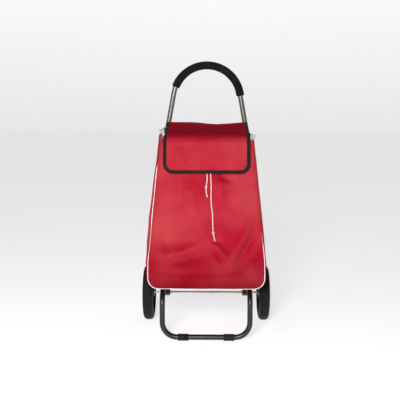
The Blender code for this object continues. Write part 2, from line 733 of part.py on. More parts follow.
def add_piping(material):
    """Round piping along the sides and the bottom of the front panel."""
    inset = PIPING_INSET
    corner = BAG_LOWER_CORNER - inset
    bottom = BAG_BOTTOM_Z + inset
    top = FLAP_FOLD_Z - RIM_BELOW_FLAP - inset
    levels = [top - (top - bottom - corner) * i / 12 for i in range(13)]
    side = [(half_width(z) - inset, z) for z in levels]
    centre = (BAG_HALF_WIDTH - BAG_LOWER_CORNER, bottom + corner)
    steps = 6
    for i in range(1, steps + 1):
        a = math.pi / 2 * i / steps
        side.append((centre[0] + corner * math.cos(a), centre[1] - corner * math.sin(a)))
    full = side + [(-x, z) for x, z in reversed(side)]
    off = PIPING_RADIUS + REST_GAP
    route = [Vector((x, ahead(front_ahead(z) + off), z)) for x, z in full]
    swept("front_piping", route, [PIPING_RADIUS] * len(route), material, sides=8)


# ---------------------------------------------------------------- flap

def top_panel_frame():
    """Length of the flap's top panel and its turn about the hinge."""
    run = fold_ahead() - FLAP_HINGE_AHEAD
    fall = FLAP_HINGE_Z - FLAP_FOLD_Z
    return math.hypot(run, fall), math.atan2(fall, run)


def panel_rings(outline, thickness):
    """Two copies of an outline of (x, s), where s runs away from the hinge along local -Y."""
    return [[(x, -s, z) for x, s in outline] for z in (-thickness / 2, thickness / 2)]


def strip_rings(outer, inner, thickness):
    """Rectangular sections between two equal rows of (x, s) points."""
    half = thickness / 2
    rings = []
    for (ax, ay), (bx, by) in zip(outer, inner):
        rings.append([(ax, -ay, -half), (ax, -ay, half), (bx, -by, half), (bx, -by, -half)])
    return rings


def front_edge(inset, start):
    """Edge of the front panel from its right top round to its left top, as (x, s)."""
    corner = FLAP_CORNER - inset
    width = FLAP_HALF_WIDTH - inset
    bottom = FLAP_DROP - inset
    edge = [(width, start)]
    for side, first, last in ((1, 0, math.pi / 2), (-1, math.pi / 2, math.pi)):
        for i in range(7):
            a = first + (last - first) * i / 6
            across = side * (width - corner) + corner * math.cos(a)
            edge.append((across, bottom - corner + corner * math.sin(a)))
    return edge + [(-width, start)]


def add_flap_top(materials):
    length, fall = top_panel_frame()
    place = {"location": (0, ahead(FLAP_HINGE_AHEAD), FLAP_HINGE_Z), "rotation": (fall, 0, 0)}
    start, end = FOLD_GAP, length - FOLD_GAP
    inner = FLAP_HALF_WIDTH - BINDING_WIDTH - GAP
    outline = [(-inner, start), (inner, start), (inner, end), (-inner, end)]
    loft("flap_top", panel_rings(outline, FLAP_THICKNESS), materials["fabric"], **place)
    for side, sign in (("left", -1), ("right", 1)):
        outer = [(sign * FLAP_HALF_WIDTH, start), (sign * FLAP_HALF_WIDTH, end)]
        close = sign * (FLAP_HALF_WIDTH - BINDING_WIDTH)
        rings = strip_rings(outer, [(close, start), (close, end)], BINDING_THICKNESS)
        loft(f"{side}_flap_top_binding", rings, materials["binding"], **place)


def front_panel_place():
    """The front panel hangs from the fold, parallel to the bag's front."""
    lean = math.atan(front_slope())
    return {"location": (0, ahead(fold_ahead()), FLAP_FOLD_Z), "rotation": (math.pi / 2 - lean, 0, 0)}


def add_flap_front(materials):
    place = front_panel_place()
    outline = front_edge(BINDING_WIDTH + GAP, FOLD_GAP)
    loft("flap_front", panel_rings(outline, FLAP_THICKNESS), materials["fabric"], **place)
    outer, inner = front_edge(0, FOLD_GAP), front_edge(BINDING_WIDTH, FOLD_GAP)
    loft("flap_front_binding", strip_rings(outer, inner, BINDING_THICKNESS), materials["binding"], **place)
    low = FLAP_DROP - PATCH_ABOVE_EDGE
    outline = patch_outline(low)
    back = -FLAP_THICKNESS / 2 - GAP
    rings = [[(x, -s, z) for x, s in outline] for z in (back - PATCH_THICKNESS, back)]
    loft("flap_hook_patch", rings, materials["binding"], **place)
    face = -FLAP_THICKNESS / 2 - FLAP_CLEARANCE + REST_GAP
    rings = [[(x, -s, z) for x, s in outline] for z in (face, face + PATCH_THICKNESS)]
    loft("bag_loop_patch", rings, materials["binding"], **place)


def patch_outline(low):
    half = PATCH_LENGTH / 2
    side = -half - KNOT_RADIUS - OUTLET_X
    return [
        (side - half, low - PATCH_HEIGHT),
        (side + half, low - PATCH_HEIGHT),
        (side + half, low),
        (side - half, low),
    ]


def add_hem(material):
    """Band that carries the flap's rear edge on the bag's back panel."""
    back = ahead(BAG_BACK_AHEAD) + GAP
    top = FLAP_HINGE_Z - FLAP_THICKNESS / 2 - 2 * GAP
    low = top - HEM_HEIGHT
    outline = [(back, low), (back + HEM_THICKNESS, low), (back + HEM_THICKNESS, top), (back, top)]
    prism("rear_hem_band", outline, -HEM_HALF_WIDTH, HEM_HALF_WIDTH, material)


def add_strap(side, sign, materials):
    """Webbing loop on the bag's back that hangs it on the upper crossbar."""
    front = ahead(BAG_BACK_AHEAD) + GAP
    back = UPRIGHT_Y + CROSSBAR_RADIUS + STRAP_THICKNESS + REST_GAP
    top = UPPER_CROSSBAR_Z + CROSSBAR_RADIUS + STRAP_THICKNESS + REST_GAP
    low = UPPER_CROSSBAR_Z - STRAP_DROP
    slant = CROSSBAR_RADIUS
    t = STRAP_THICKNESS
    outer = [(front, low), (back, low), (back, top - slant), (back - slant, top), (front, top)]
    inner = [
        (front + t, low + t),
        (back - t, low + t),
        (back - t, top - slant),
        (back - slant, top - t),
        (front + t, top - t),
    ]
    x = sign * STRAP_X
    edges = (x - STRAP_WIDTH / 2, x + STRAP_WIDTH / 2)
    ring_prism(side + "_hanging_strap", outer, inner, *edges, materials["webbing"])
    face = back + GAP
    profile = [
        (STUD_RADIUS, face),
        (STUD_RADIUS, face + STUD_HEIGHT / 2),
        (STUD_RADIUS * 0.7, face + STUD_HEIGHT),
    ]
    place = {"location": (x, 0, low + STRAP_DROP / 3), "rotation": (-math.pi / 2, 0, 0)}
    turned(side + "_strap_stud", profile, materials["steel"], **place)


# ---------------------------------------------------------------- drawcords

# across, height and distance off the bag's front face of the points that each cord passes
LEFT_ROUTE = [
    (-0.0120, 0.6315, 0.0040), (-0.0120, 0.6200, 0.0036), (-0.0105, 0.6040, 0.0028),
    (-0.0055, 0.5840, 0.0027), (-0.0005, 0.5660, 0.0027), (0.0018, 0.5480, 0.0029),
    (0.0012, 0.5300, 0.0038), (-0.0012, 0.5120, 0.0054), (-0.0006, 0.4960, 0.0042),
    (0.0020, 0.4790, 0.0030),
]
RIGHT_ROUTE = [
    (0.0120, 0.6315, 0.0040), (0.0120, 0.6200, 0.0036), (0.0126, 0.6020, 0.0028),
    (0.0130, 0.5780, 0.0027), (0.0132, 0.5540, 0.0028), (0.0146, 0.5280, 0.0030),
    (0.0152, 0.5000, 0.0028), (0.0150, 0.4720, 0.0027), (0.0166, 0.4480, 0.0029),
    (0.0194, 0.4300, 0.0028), (0.0206, 0.4080, 0.0027), (0.0208, 0.3860, 0.0036),
    (0.0226, 0.3630, 0.0054), (0.0256, 0.3480, 0.0042), (0.0282, 0.3370, 0.0030),
]
LEFT_KNOT = 7
RIGHT_KNOT = 12


def cord_points(route):
    return [Vector((x, ahead(front_ahead(z) + off), z)) for x, z, off in route]


def smooth(points):
    """Catmull-Rom curve through the points, with a point about every CORD_STEP."""
    row = [2 * points[0] - points[1]] + points + [2 * points[-1] - points[-2]]
    made = [points[0]]
    for a, b, c, d in zip(row, row[1:], row[2:], row[3:]):
        steps = max(1, round((c - b).length / CORD_STEP))
        for i in range(1, steps + 1):
            t = i / steps
            made.append(0.5 * ((2 * b) + (c - a) * t + (2 * a - 5 * b + 4 * c - d) * t ** 2
                               + (3 * b - a - 3 * c + d) * t ** 3))
    return made


def add_cord(side, route, knot, materials):
    points = cord_points(route)
    curve = bpy.data.curves.new(side + "_drawcord", "CURVE")
    curve.dimensions = "3D"
    curve.bevel_depth = CORD_RADIUS
    curve.bevel_resolution = 2
    curve.use_fill_caps = True
    line = smooth(points)
    spline = curve.splines.new("POLY")
    spline.points.add(len(line) - 1)
    for slot, point in zip(spline.points, line):
        slot.co = (*point, 1.0)
    add_object(side + "_drawcord", curve, materials["cord"])
    add_knot(side, points[knot], points[knot + 1] - points[knot - 1], materials["cord"])
    add_outlet(side, points[0].x, materials["plastic"])


def add_knot(side, centre, direction, material):
    """Knot on the cord: a barrel with the cord's hole through it."""
    half = KNOT_LENGTH / 2
    hole = CORD_RADIUS + 2 * GAP
    profile = [
        (KNOT_RADIUS * 0.75, half),
        (KNOT_RADIUS, half / 3),
        (KNOT_RADIUS, -half / 3),
        (KNOT_RADIUS * 0.75, -half),
        (hole, -half),
        (hole, half),
    ]
    turn = direction.to_track_quat("Z", "X").to_euler()
    turned(side + "_cord_knot", profile, material, hollow=True, location=centre, rotation=turn)


def add_outlet(side, x, material):
    """Ferrule under the flap, out of which the drawcord hangs."""
    bore = CORD_RADIUS + GAP
    off = OUTLET_RADIUS + REST_GAP
    lean = math.atan(front_slope())
    middle = OUTLET_MOUTH_Z + OUTLET_LENGTH / 2
    centre = (x, ahead(front_ahead(middle) + off), middle)
    profile = tube_profile(OUTLET_RADIUS, bore, -OUTLET_LENGTH / 2, OUTLET_LENGTH / 2)
    turned(side + "_cord_outlet", profile, material, hollow=True, location=centre, rotation=(-lean, 0, 0))


# ---------------------------------------------------------------- whole trolley

def make_materials():
    return {
        "tube": make_material("tube", (0.045, 0.045, 0.050), 0.25, 0.8),
        "steel": make_material("steel", (0.55, 0.55, 0.56), 0.35, 1.0),
        "plastic": make_material("plastic", (0.020, 0.020, 0.022), 0.45),
        "rim": make_material("rim", (0.018, 0.018, 0.020), 0.42),
        "tyre": make_material("tyre", (0.016, 0.016, 0.017), 0.75),
        "bush": make_material("bush", (0.60, 0.60, 0.58), 0.45),
        "rubber": make_material("rubber", (0.020, 0.020, 0.020), 0.80),
        "foam": make_material("foam", (0.018, 0.018, 0.019), 0.85),
        "fabric": make_material("fabric", (0.48, 0.012, 0.022), 0.50),
        "lining": make_material("lining", (0.72, 0.72, 0.73), 0.60),
        "piping": make_material("piping", (0.80, 0.70, 0.70), 0.50),
        "binding": make_material("binding", (0.015, 0.015, 0.017), 0.70),
        "webbing": make_material("webbing", (0.020, 0.020, 0.022), 0.75),
        "board": make_material("board", (0.05, 0.05, 0.05), 0.70),
        "cord": make_material("cord", (0.62, 0.50, 0.50), 0.70),
    }


def main():
    clear_scene()
    materials = make_materials()
    add_axle(materials["steel"])
    add_handle(materials["tube"])
    add_grip(materials["foam"])
    add_crossbar("upper_crossbar", UPPER_CROSSBAR_Z, materials["tube"])
    add_crossbar("lower_crossbar", LOWER_CROSSBAR_Z, materials["tube"])
    for side, sign in (("left", -1), ("right", 1)):
        add_wheel(side, sign, materials)
        add_hub_cap(side, sign, materials["plastic"])
        add_washer(side, sign, materials["steel"])
        add_upright(side, sign, materials)
        add_bracket(side, sign, materials)
        add_strap(side, sign, materials)
    add_foot(materials)
    add_bag(materials)
    add_hem(materials["binding"])
    add_flap_top(materials)
    add_flap_front(materials)
    add_cord("left", LEFT_ROUTE, LEFT_KNOT, materials)
    add_cord("right", RIGHT_ROUTE, RIGHT_KNOT, materials)


main()
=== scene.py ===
"""Visual model of a two-wheeled shopping trolley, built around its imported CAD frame.

Metres, +Z up, the front faces -Y. Places come from the CAD nodes' boxes, the joints and the named sizes.
"""
import json
import math

import bpy
from mathutils import Matrix, Vector, noise


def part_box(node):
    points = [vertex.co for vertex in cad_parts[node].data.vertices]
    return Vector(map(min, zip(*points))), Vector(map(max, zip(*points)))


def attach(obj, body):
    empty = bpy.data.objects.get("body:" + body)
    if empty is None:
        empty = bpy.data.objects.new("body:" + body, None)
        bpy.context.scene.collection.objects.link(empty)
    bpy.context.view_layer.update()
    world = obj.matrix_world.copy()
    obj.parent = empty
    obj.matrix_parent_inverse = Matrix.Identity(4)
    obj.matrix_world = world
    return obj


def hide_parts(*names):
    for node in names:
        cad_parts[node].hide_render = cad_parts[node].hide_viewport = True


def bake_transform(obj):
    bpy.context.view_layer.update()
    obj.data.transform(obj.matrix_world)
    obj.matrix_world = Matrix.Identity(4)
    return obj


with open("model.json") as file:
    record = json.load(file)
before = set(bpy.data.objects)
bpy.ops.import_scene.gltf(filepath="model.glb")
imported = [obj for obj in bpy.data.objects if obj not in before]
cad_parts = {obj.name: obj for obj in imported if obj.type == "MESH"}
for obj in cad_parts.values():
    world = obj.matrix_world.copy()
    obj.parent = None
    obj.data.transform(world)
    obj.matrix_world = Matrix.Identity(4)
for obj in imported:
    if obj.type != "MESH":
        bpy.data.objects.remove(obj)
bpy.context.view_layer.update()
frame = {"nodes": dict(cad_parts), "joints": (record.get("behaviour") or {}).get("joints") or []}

SIDES = (("left", -1), ("right", 1))
ALONG_X, ALONG_Y, ALONG_Z = Vector((1, 0, 0)), Vector((0, 1, 0)), Vector((0, 0, 1))


def middle(node):
    low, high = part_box(node)
    return (low + high) / 2


# ---- places read from the frame

AXLE = middle("axle")
BAG_LOW, BAG_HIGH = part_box("bag_body")
BAND_LOW, BAND_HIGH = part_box("rear_hem_band")
JOINTS = {joint["name"]: Vector(joint["pos_m"]) for joint in frame["joints"]}
HINGE = JOINTS["flap_lift"]
FOLD = JOINTS["flap_unfold"]
FRAME_X = middle("right_upright").x
UPRIGHT_Y = middle("right_upright").y
WHEEL_X = JOINTS["right_wheel_spin"].x

# ---- named sizes

TUBE_RADIUS = 0.009
TUBE_WALL = 0.0015
BAR_RADIUS = 0.006        # the two crossbars
FRONT_AHEAD = 0.275       # the bag's front at its floor, ahead of the axle
FRONT_SLOPE = 0.11436     # how far the front leans back for each metre up
BAG_HALF_WIDTH = 0.197
BAG_TOP_HALF_WIDTH = 0.155
BELLY_TOP_Z = BAG_LOW.z + 0.085
LOWER_CORNER = 0.034
BOTTOM_EDGE = 0.008
BACK_CORNER = 0.016
SEAM_INSET = 0.0055
SEAM_DEPTH = 0.011        # how far back the corner behind the front seam reaches
RIM_BELOW_FLAP = 0.022
FLAP_HALF_WIDTH = 0.143
FLAP_DROP = 0.120
FLAP_CORNER = 0.033
BINDING_WIDTH = 0.010
LEAN = math.atan(FRONT_SLOPE)


def clamp(value, low=0.0, high=1.0):
    return min(high, max(low, value))


def ease(t):
    t = clamp(t)
    return t * t * (3 - 2 * t)


def hump(value, centre, reach):
    """A smooth bump of height 1 that ends at a reach on each side of its centre."""
    return ease(1 - abs(value - centre) / reach)


def rounding(share, depth):
    """How far a quarter round of this depth is drawn in, at a share of its run from the end."""
    return depth * (1 - math.sqrt(1 - (1 - min(1.0, share)) ** 2))


def turns(count, shift=0.0):
    """The angles of an even ring."""
    return [2 * math.pi * (k + shift) / count for k in range(count)]


def spread(low, high, count):
    """The ends of count equal steps from low to high, for numbers or points."""
    return [low + (high - low) * i / count for i in range(count + 1)]


def toward(a, u, v):
    """The direction at an angle from u towards v."""
    return math.cos(a) * u + math.sin(a) * v


def front_y(z):
    """Y of the bag's front plane at a height."""
    return AXLE.y - FRONT_AHEAD + (z - BAG_LOW.z) * FRONT_SLOPE


def flap_line(y):
    """Height of the flap's top panel above a point of this Y."""
    share = (HINGE.y - y) / (HINGE.y - FOLD.y)
    return HINGE.z + share * (FOLD.z - HINGE.z)


def half_width(z):
    share = max(0.0, (z - BELLY_TOP_Z) / (FOLD.z - BELLY_TOP_Z))
    return BAG_HALF_WIDTH + share * (BAG_TOP_HALF_WIDTH - BAG_HALF_WIDTH)


# ---- mesh tools

def new_object(name, points, faces, smooth_angle=40):
    mesh = bpy.data.meshes.new(name)
    mesh.from_pydata([tuple(p) for p in points], [], faces)
    mesh.validate()
    mesh.shade_smooth()
    if smooth_angle:
        mesh.set_sharp_from_angle(angle=math.radians(smooth_angle))
    made = bpy.data.objects.new(name, mesh)
    bpy.context.scene.collection.objects.link(made)
    return made


def skin(rows, wrap=True, start=0):
    """Quads between equal rows of points numbered from start."""
    count = len(rows[0])
    faces = []
    for r in range(len(rows) - 1):
        low, high = start + r * count, start + (r + 1) * count
        for c in range(count if wrap else count - 1):
            d = (c + 1) % count
            faces.append((low + c, low + d, high + d, high + c))
    return faces


def lofted(name, rows, closed=False, top=True, smooth_angle=40):
    """A skin over rings of points: capped, or its last ring joined to its first."""
    points = [p for row in rows for p in row]
    count = len(rows[0])
    faces = skin(rows + rows[:1] if closed else rows)
    if closed:
        faces = [tuple(i % len(points) for i in face) for face in faces]
    else:
        faces.append(tuple(reversed(range(count))))
        if top:
            faces.append(tuple(range(len(points) - count, len(points))))
    return new_object(name, points, faces, smooth_angle)


def shell(name, upper, lower):
    """A sheet with two faces, from equal rows of points on each, closed along its edge."""
    points = [p for row in upper + lower for p in row]
    count, width = len(upper), len(upper[0])
    half = count * width
    faces = skin(upper, wrap=False)
    faces += [tuple(reversed(face)) for face in skin(lower, wrap=False, start=half)]
    edge = list(range(width)) + [r * width + width - 1 for r in range(1, count)]
    edge += [(count - 1) * width + c for c in range(width - 2, -1, -1)]
    edge += [r * width for r in range(count - 2, 0, -1)]
    faces += [(b, a, a + half, b + half) for a, b in zip(edge, edge[1:] + edge[:1])]
    return new_object(name, points, faces)


def tangent(path, i):
    return (path[min(i + 1, len(path) - 1)] - path[max(i - 1, 0)]).normalized()


def frames_along(path):
    """Tangent, normal and side of each point of a path, carried along without twist."""
    made = []
    last = tangent(path, 0)
    normal = last.orthogonal().normalized()
    for i in range(len(path)):
        along = tangent(path, i)
        normal = last.rotation_difference(along) @ normal if i else normal
        last = along
        made.append((along, normal, along.cross(normal).normalized()))
    return made


def ring_across(point, normal, side, radius, sides):
    return [point + radius * toward(a, normal, side) for a in turns(sides)]


def with_ends(rows, path, frames, shares, lengths):
    """The rings of a bar with a smaller one beyond each end, which rounds it off."""
    first, last = [[path[i] + (p - path[i]) * shares[i] + frames[i][0] * sign * lengths[i] for p in rows[i]]
                   for i, sign in ((0, -1), (-1, 1))]
    return [first] + rows + [last]


def rod(name, path, radius, sides=24, end_round=0.0):
    """A solid round bar along a path, with rounded ends."""
    frames = frames_along(path)
    rows = [ring_across(point, normal, side, radius, sides) for point, (_, normal, side) in zip(path, frames)]
    if end_round:
        rows = with_ends(rows, path, frames, (0.65, 0.65), (end_round, end_round))
    return lofted(name, rows)


def pipe(name, path, radii, wall, sides=32):
    """A hollow tube along a path, open at both ends, with eased rims."""
    frames = frames_along(path)
    outer, inner = [[ring_across(point, normal, side, r - less, sides)
                     for point, (_, normal, side), r in zip(path, frames, radii)] for less in (0, wall)]
    ease_by = wall * 0.3
    rims = []
    for i, way in ((0, -1), (-1, 1)):
        along, normal, side = frames[i]
        rims.append(ring_across(path[i] + along * way * ease_by, normal, side, radii[i] - ease_by, sides))
    return lofted(name, rims[:1] + outer + rims[1:] + inner[::-1], closed=True)


def turned(name, profile, place, axis=ALONG_Z, sides=48, hollow=False, smooth_angle=35):
    """A turned piece from (radius, along) pairs, about an axis through a place."""
    axis = Vector(axis).normalized()
    normal = axis.orthogonal().normalized()
    side = axis.cross(normal)
    rows = [ring_across(Vector(place) + axis * along, normal, side, r, sides) for r, along in profile]
    return lofted(name, rows, closed=hollow, smooth_angle=smooth_angle)


def both_sides(half):
    """A closed profile from its (radius, along) pairs on the positive side, outermost first."""
    return [(half[0][0], -half[0][1])] + half + [(r, -along) for r, along in reversed(half[1:])]


def arc(centre, u, v, radius, start, stop, steps):
    return [Vector(centre) + radius * toward(a, u, v) for a in spread(start, stop, steps)]


def bevel(made, width, segments=3):
    step = made.modifiers.new("eased", "BEVEL")
    step.width = width
    step.segments = segments
    step.limit_method = "ANGLE"
    step.angle_limit = math.radians(30)
    return made


def slab(name, low, high, edge):
    """A box with eased edges."""
    corners = [(x, y, z) for x in (low[0], high[0]) for y in (low[1], high[1]) for z in (low[2], high[2])]
    faces = [(0, 1, 3, 2), (4, 6, 7, 5), (0, 4, 5, 1), (2, 3, 7, 6), (0, 2, 6, 4), (1, 5, 7, 3)]
    return bevel(new_object(name, corners, faces), edge)


def joined(name, parts):
    """One mesh out of several."""
    points, faces = [], []
    for part in parts:
        base = len(points)
        points += [v.co.copy() for v in part.data.vertices]
        faces += [tuple(base + i for i in p.vertices) for p in part.data.polygons]
        bpy.data.objects.remove(part)
    return new_object(name, points, faces)


def smooth(points, step):
    """Catmull-Rom curve through the points, with a point about every step."""
    row = [2 * points[0] - points[1]] + points + [2 * points[-1] - points[-2]]
    made = [points[0]]
    for a, b, c, d in zip(row, row[1:], row[2:], row[3:]):
        count = max(1, round((c - b).length / step))
        for i in range(1, count + 1):
            t = i / count
            made.append(0.5 * ((2 * b) + (c - a) * t + (2 * a - 5 * b + 4 * c - d) * t ** 2
                               + (3 * b - a - 3 * c + d) * t ** 3))
    return made


def even(points, step):
    """The same line with its points an equal step apart."""
    made = [points[0]]
    want = step
    travelled = 0.0
    for a, b in zip(points, points[1:]):
        run = (b - a).length
        while run > 1e-9 and travelled + run >= want:
            made.append(a.lerp(b, (want - travelled) / run))
            want += step
        travelled += run
    return made


def relaxed(points, rounds):
    for _ in range(rounds):
        inner = [(a + 2 * b + c) / 4 for a, b, c in zip(points, points[1:], points[2:])]
        points = [points[0]] + inner + [points[-1]]
    return points


def stitches(name, path, normals, material, slot, body="frame", pitch=0.0042, length=0.0030, radius=0.00045):
    """A row of sewn stitches: short threads that dive into the cloth at both ends."""
    if isinstance(normals, Vector):
        normals = [normals] * len(path)
    points, faces = [], []
    travelled, due = 0.0, pitch / 2
    for i in range(1, len(path)):
        step = (path[i] - path[i - 1]).length
        while travelled + step >= due:
            at = path[i - 1].lerp(path[i], (due - travelled) / step)
            along = (path[i] - path[i - 1]).normalized()
            up = normals[i]
            side = along.cross(up).normalized()
            base = len(points)
            rows = [ring_across(at + along * place * length + up * lift, up, side, radius, 6)
                    for place, lift in ((-0.5, -0.0006), (-0.3, 0.0002), (0.3, 0.0002), (0.5, -0.0006))]
            points += [p for row in rows for p in row]
            faces += skin(rows, start=base)
            faces += [tuple(range(base + 5, base - 1, -1)), tuple(range(base + 18, base + 24))]
            due += pitch
        travelled += step
    return finish_piece(new_object(name, points, faces, 60), material, slot=slot, body=body)


# ---- materials

class Nodes:
    """Short ways to add nodes to a tree."""

    def __init__(self, tree):
        self.tree = tree

    def add(self, kind, settings=(), **inputs):
        node = self.tree.nodes.new("ShaderNode" + kind)
        for key, value in settings:
            setattr(node, key, value)
        for socket, value in inputs.items():
            self.feed(node.inputs[socket.replace("_", " ")], value)
        return node

    def feed(self, socket, value):
        if isinstance(value, bpy.types.NodeSocket):
            self.tree.links.new(value, socket)
        else:
            socket.default_value = value

    def pair(self, kind, operation, a, b):
        node = self.add(kind, [("operation", operation)])
        self.feed(node.inputs[0], a)
        self.feed(node.inputs[1], b)
        return node.outputs[0]

    def math(self, operation, a, b):
        return self.pair("Math", operation, a, b)

    def times(self, a, b):
        """One colour multiplied by another."""
        return self.pair("VectorMath", "MULTIPLY", a, b)

    def split(self, vector):
        return self.add("SeparateXYZ", Vector=vector).outputs

    def ramp(self, factor, *stops):
        """Colours or grey levels by a factor, from (place, colour) stops."""
        node = self.add("ValToRGB", Fac=factor)
        ramp = node.color_ramp
        while len(ramp.elements) < len(stops):
            ramp.elements.new(0.5)
        for element, (place, colour) in zip(ramp.elements, stops):
            element.position = place
            element.color = (*colour, 1.0) if hasattr(colour, "__len__") else (colour, colour, colour, 1.0)
        return node.outputs["Color"]

    def between(self, factor, first, second, start=0.3, stop=0.7):
        return self.ramp(factor, (start, first), (stop, second))


class Shade(Nodes):
    """A Principled material and its most used textures."""

    def __init__(self, name, roughness, metallic=0.0, **constants):
        self.material = bpy.data.materials.new(name)
        self.material.use_nodes = True
        super().__init__(self.material.node_tree)
        self.shader = self.tree.nodes["Principled BSDF"]
        for socket, value in dict(constants, Roughness=roughness, Metallic=metallic).items():
            self.shader.inputs[socket.replace("_", " ")].default_value = value
        texture = self.tree.nodes.new("ShaderNodeTexCoord")
        self.place, self.facing = texture.outputs["Object"], texture.outputs["Normal"]

    def stretched(self, scale):
        return self.add("Mapping", Vector=self.place, Scale=scale).outputs[0]

    def noise(self, scale, detail=3.0, vector=None):
        return self.add("TexNoise", Vector=vector or self.place, Scale=scale, Detail=detail).outputs["Fac"]

    def bands(self, direction, scale):
        node = self.add("TexWave", [("bands_direction", direction)], Vector=self.place, Scale=scale)
        return node.outputs["Fac"]

    def colour(self, value):
        self.feed(self.shader.inputs["Base Color"], value)

    def rough(self, value):
        self.feed(self.shader.inputs["Roughness"], value)

    def bump(self, height, distance):
        before = self.shader.inputs["Normal"].links
        node = self.add("Bump", Height=height, Distance=distance, Strength=1.0)
        if before:
            self.feed(node.inputs["Normal"], before[0].from_socket)
        self.feed(self.shader.inputs["Normal"], node.outputs[0])


def mixed(colour, factor):
    return tuple(c * factor for c in colour)


def weave(shade, pitch, depth):
    """Plain weave: two crossed sets of threads, seen on every upright and level face."""
    scale = math.pi / (10 * pitch)
    warp, rise, run = (shade.bands(axis, scale) for axis in "XZY")
    shade.bump(shade.math("MULTIPLY", warp, shade.math("MAXIMUM", rise, run)), depth)


def bag_fabric():
    """Dyed red canvas, fine threads, painted sheen in paler random patches, painted shade on top and towards
    the bottom.
    """
    shade = Shade("bag_fabric", 0.72, Specular_IOR_Level=0.02)
    cloud = shade.noise(5.0, 5.0)
    upward = shade.split(shade.facing)["Z"]
    # painted sheen: random patches of a paler, whiter red stand in for the cloth's sheen; upward faces get
    # less of it, which is painted shade on top
    painted_sheen_mask = shade.math("MULTIPLY", cloud, shade.between(upward, 1.0, 0.55, 0.10, 0.92))
    red_with_painted_sheen = shade.between(painted_sheen_mask, (0.385, 0.007, 0.024), (0.46, 0.043, 0.054), 0.34, 0.60)
    threads = shade.between(shade.noise(420.0, 2.0), 0.94, 1.0)
    height = shade.split(shade.place)["Z"]
    rise = shade.add("MapRange", Value=height, From_Min=BAG_LOW.z, From_Max=BAG_LOW.z + 0.16).outputs[0]
    # painted shade: the red darkens towards the bottom of the bag
    painted_low_shade = shade.ramp(rise, (0.0, (0.45, 0.20, 0.26)), (0.25, (0.74, 0.55, 0.58)), (1.0, 1.0))
    shade.colour(shade.times(shade.times(red_with_painted_sheen, threads), painted_low_shade))
    shade.rough(shade.between(cloud, 0.76, 0.66))
    weave(shade, 0.0011, 0.00012)
    return shade.material


def cloth(name, colour, roughness, pitch, depth=0.00015, contrast=0.2):
    shade = Shade(name, roughness, Sheen_Weight=0.03, Sheen_Roughness=0.5, Specular_IOR_Level=0.2)
    tone = shade.noise(35.0, 5.0)
    shade.colour(shade.between(tone, mixed(colour, 1 - contrast), mixed(colour, 1 + contrast)))
    shade.rough(shade.between(tone, roughness + 0.06, roughness - 0.06))
    weave(shade, pitch, depth)
    return shade.material


def moulded(name, colour, roughness, grain=900.0, depth=0.00012):
    """Moulded plastic or rubber: fine grain, and paler where it is rubbed."""
    shade = Shade(name, roughness, Specular_IOR_Level=0.2)
    dirt = shade.noise(28.0, 5.0)
    shade.colour(shade.between(dirt, mixed(colour, 0.8), mixed(colour, 2.0), 0.35, 0.75))
    shade.rough(shade.between(dirt, roughness + 0.08, roughness - 0.07))
    shade.bump(shade.noise(grain, 2.0), depth)
    return shade.material


def lacquered(name, colour, roughness, metallic, coat):
    """Lacquered tube: orange peel, faint draw marks along it and small scuffs."""
    shade = Shade(name, roughness, metallic, Coat_Weight=coat, Coat_Roughness=0.12)
    scuff = shade.noise(16.0, 6.0, shade.stretched((1.0, 1.0, 0.25)))
    shade.colour(shade.between(scuff, mixed(colour, 0.85), mixed(colour, 1.2), 0.35, 0.7))
    shade.rough(shade.between(scuff, roughness + 0.07, roughness - 0.05))
    shade.bump(shade.noise(240.0, 1.0), 0.00004)
    return shade.material


def foam():
    shade = Shade("foam", 0.90, Sheen_Weight=0.02, Specular_IOR_Level=0.12)
    cells = shade.add("TexVoronoi", Vector=shade.place, Scale=700.0).outputs["Distance"]
    shade.colour(shade.between(shade.noise(45.0, 5.0), (0.005, 0.004, 0.0035), (0.012, 0.010, 0.009)))
    shade.bump(cells, 0.0003)
    shade.bump(shade.noise(110.0, 4.0), 0.0006)
    return shade.material


def zinc():
    shade = Shade("zinc", 0.34, 1.0)
    tone = shade.noise(60.0, 4.0, shade.stretched((0.15, 1.0, 1.0)))
    shade.colour(shade.between(tone, (0.38, 0.38, 0.38), (0.62, 0.61, 0.59)))
    shade.rough(shade.between(tone, 0.42, 0.28))
    shade.bump(shade.noise(500.0, 2.0), 0.00003)
    return shade.material


def drawcord():
    shade = Shade("drawcord", 0.68, Sheen_Weight=0.05, Specular_IOR_Level=0.2)
    shade.colour(shade.between(shade.noise(500.0, 3.0), (0.50, 0.36, 0.36), (0.82, 0.70, 0.69)))
    shade.bump(shade.noise(1500.0, 2.0), 0.0002)
    return shade.material


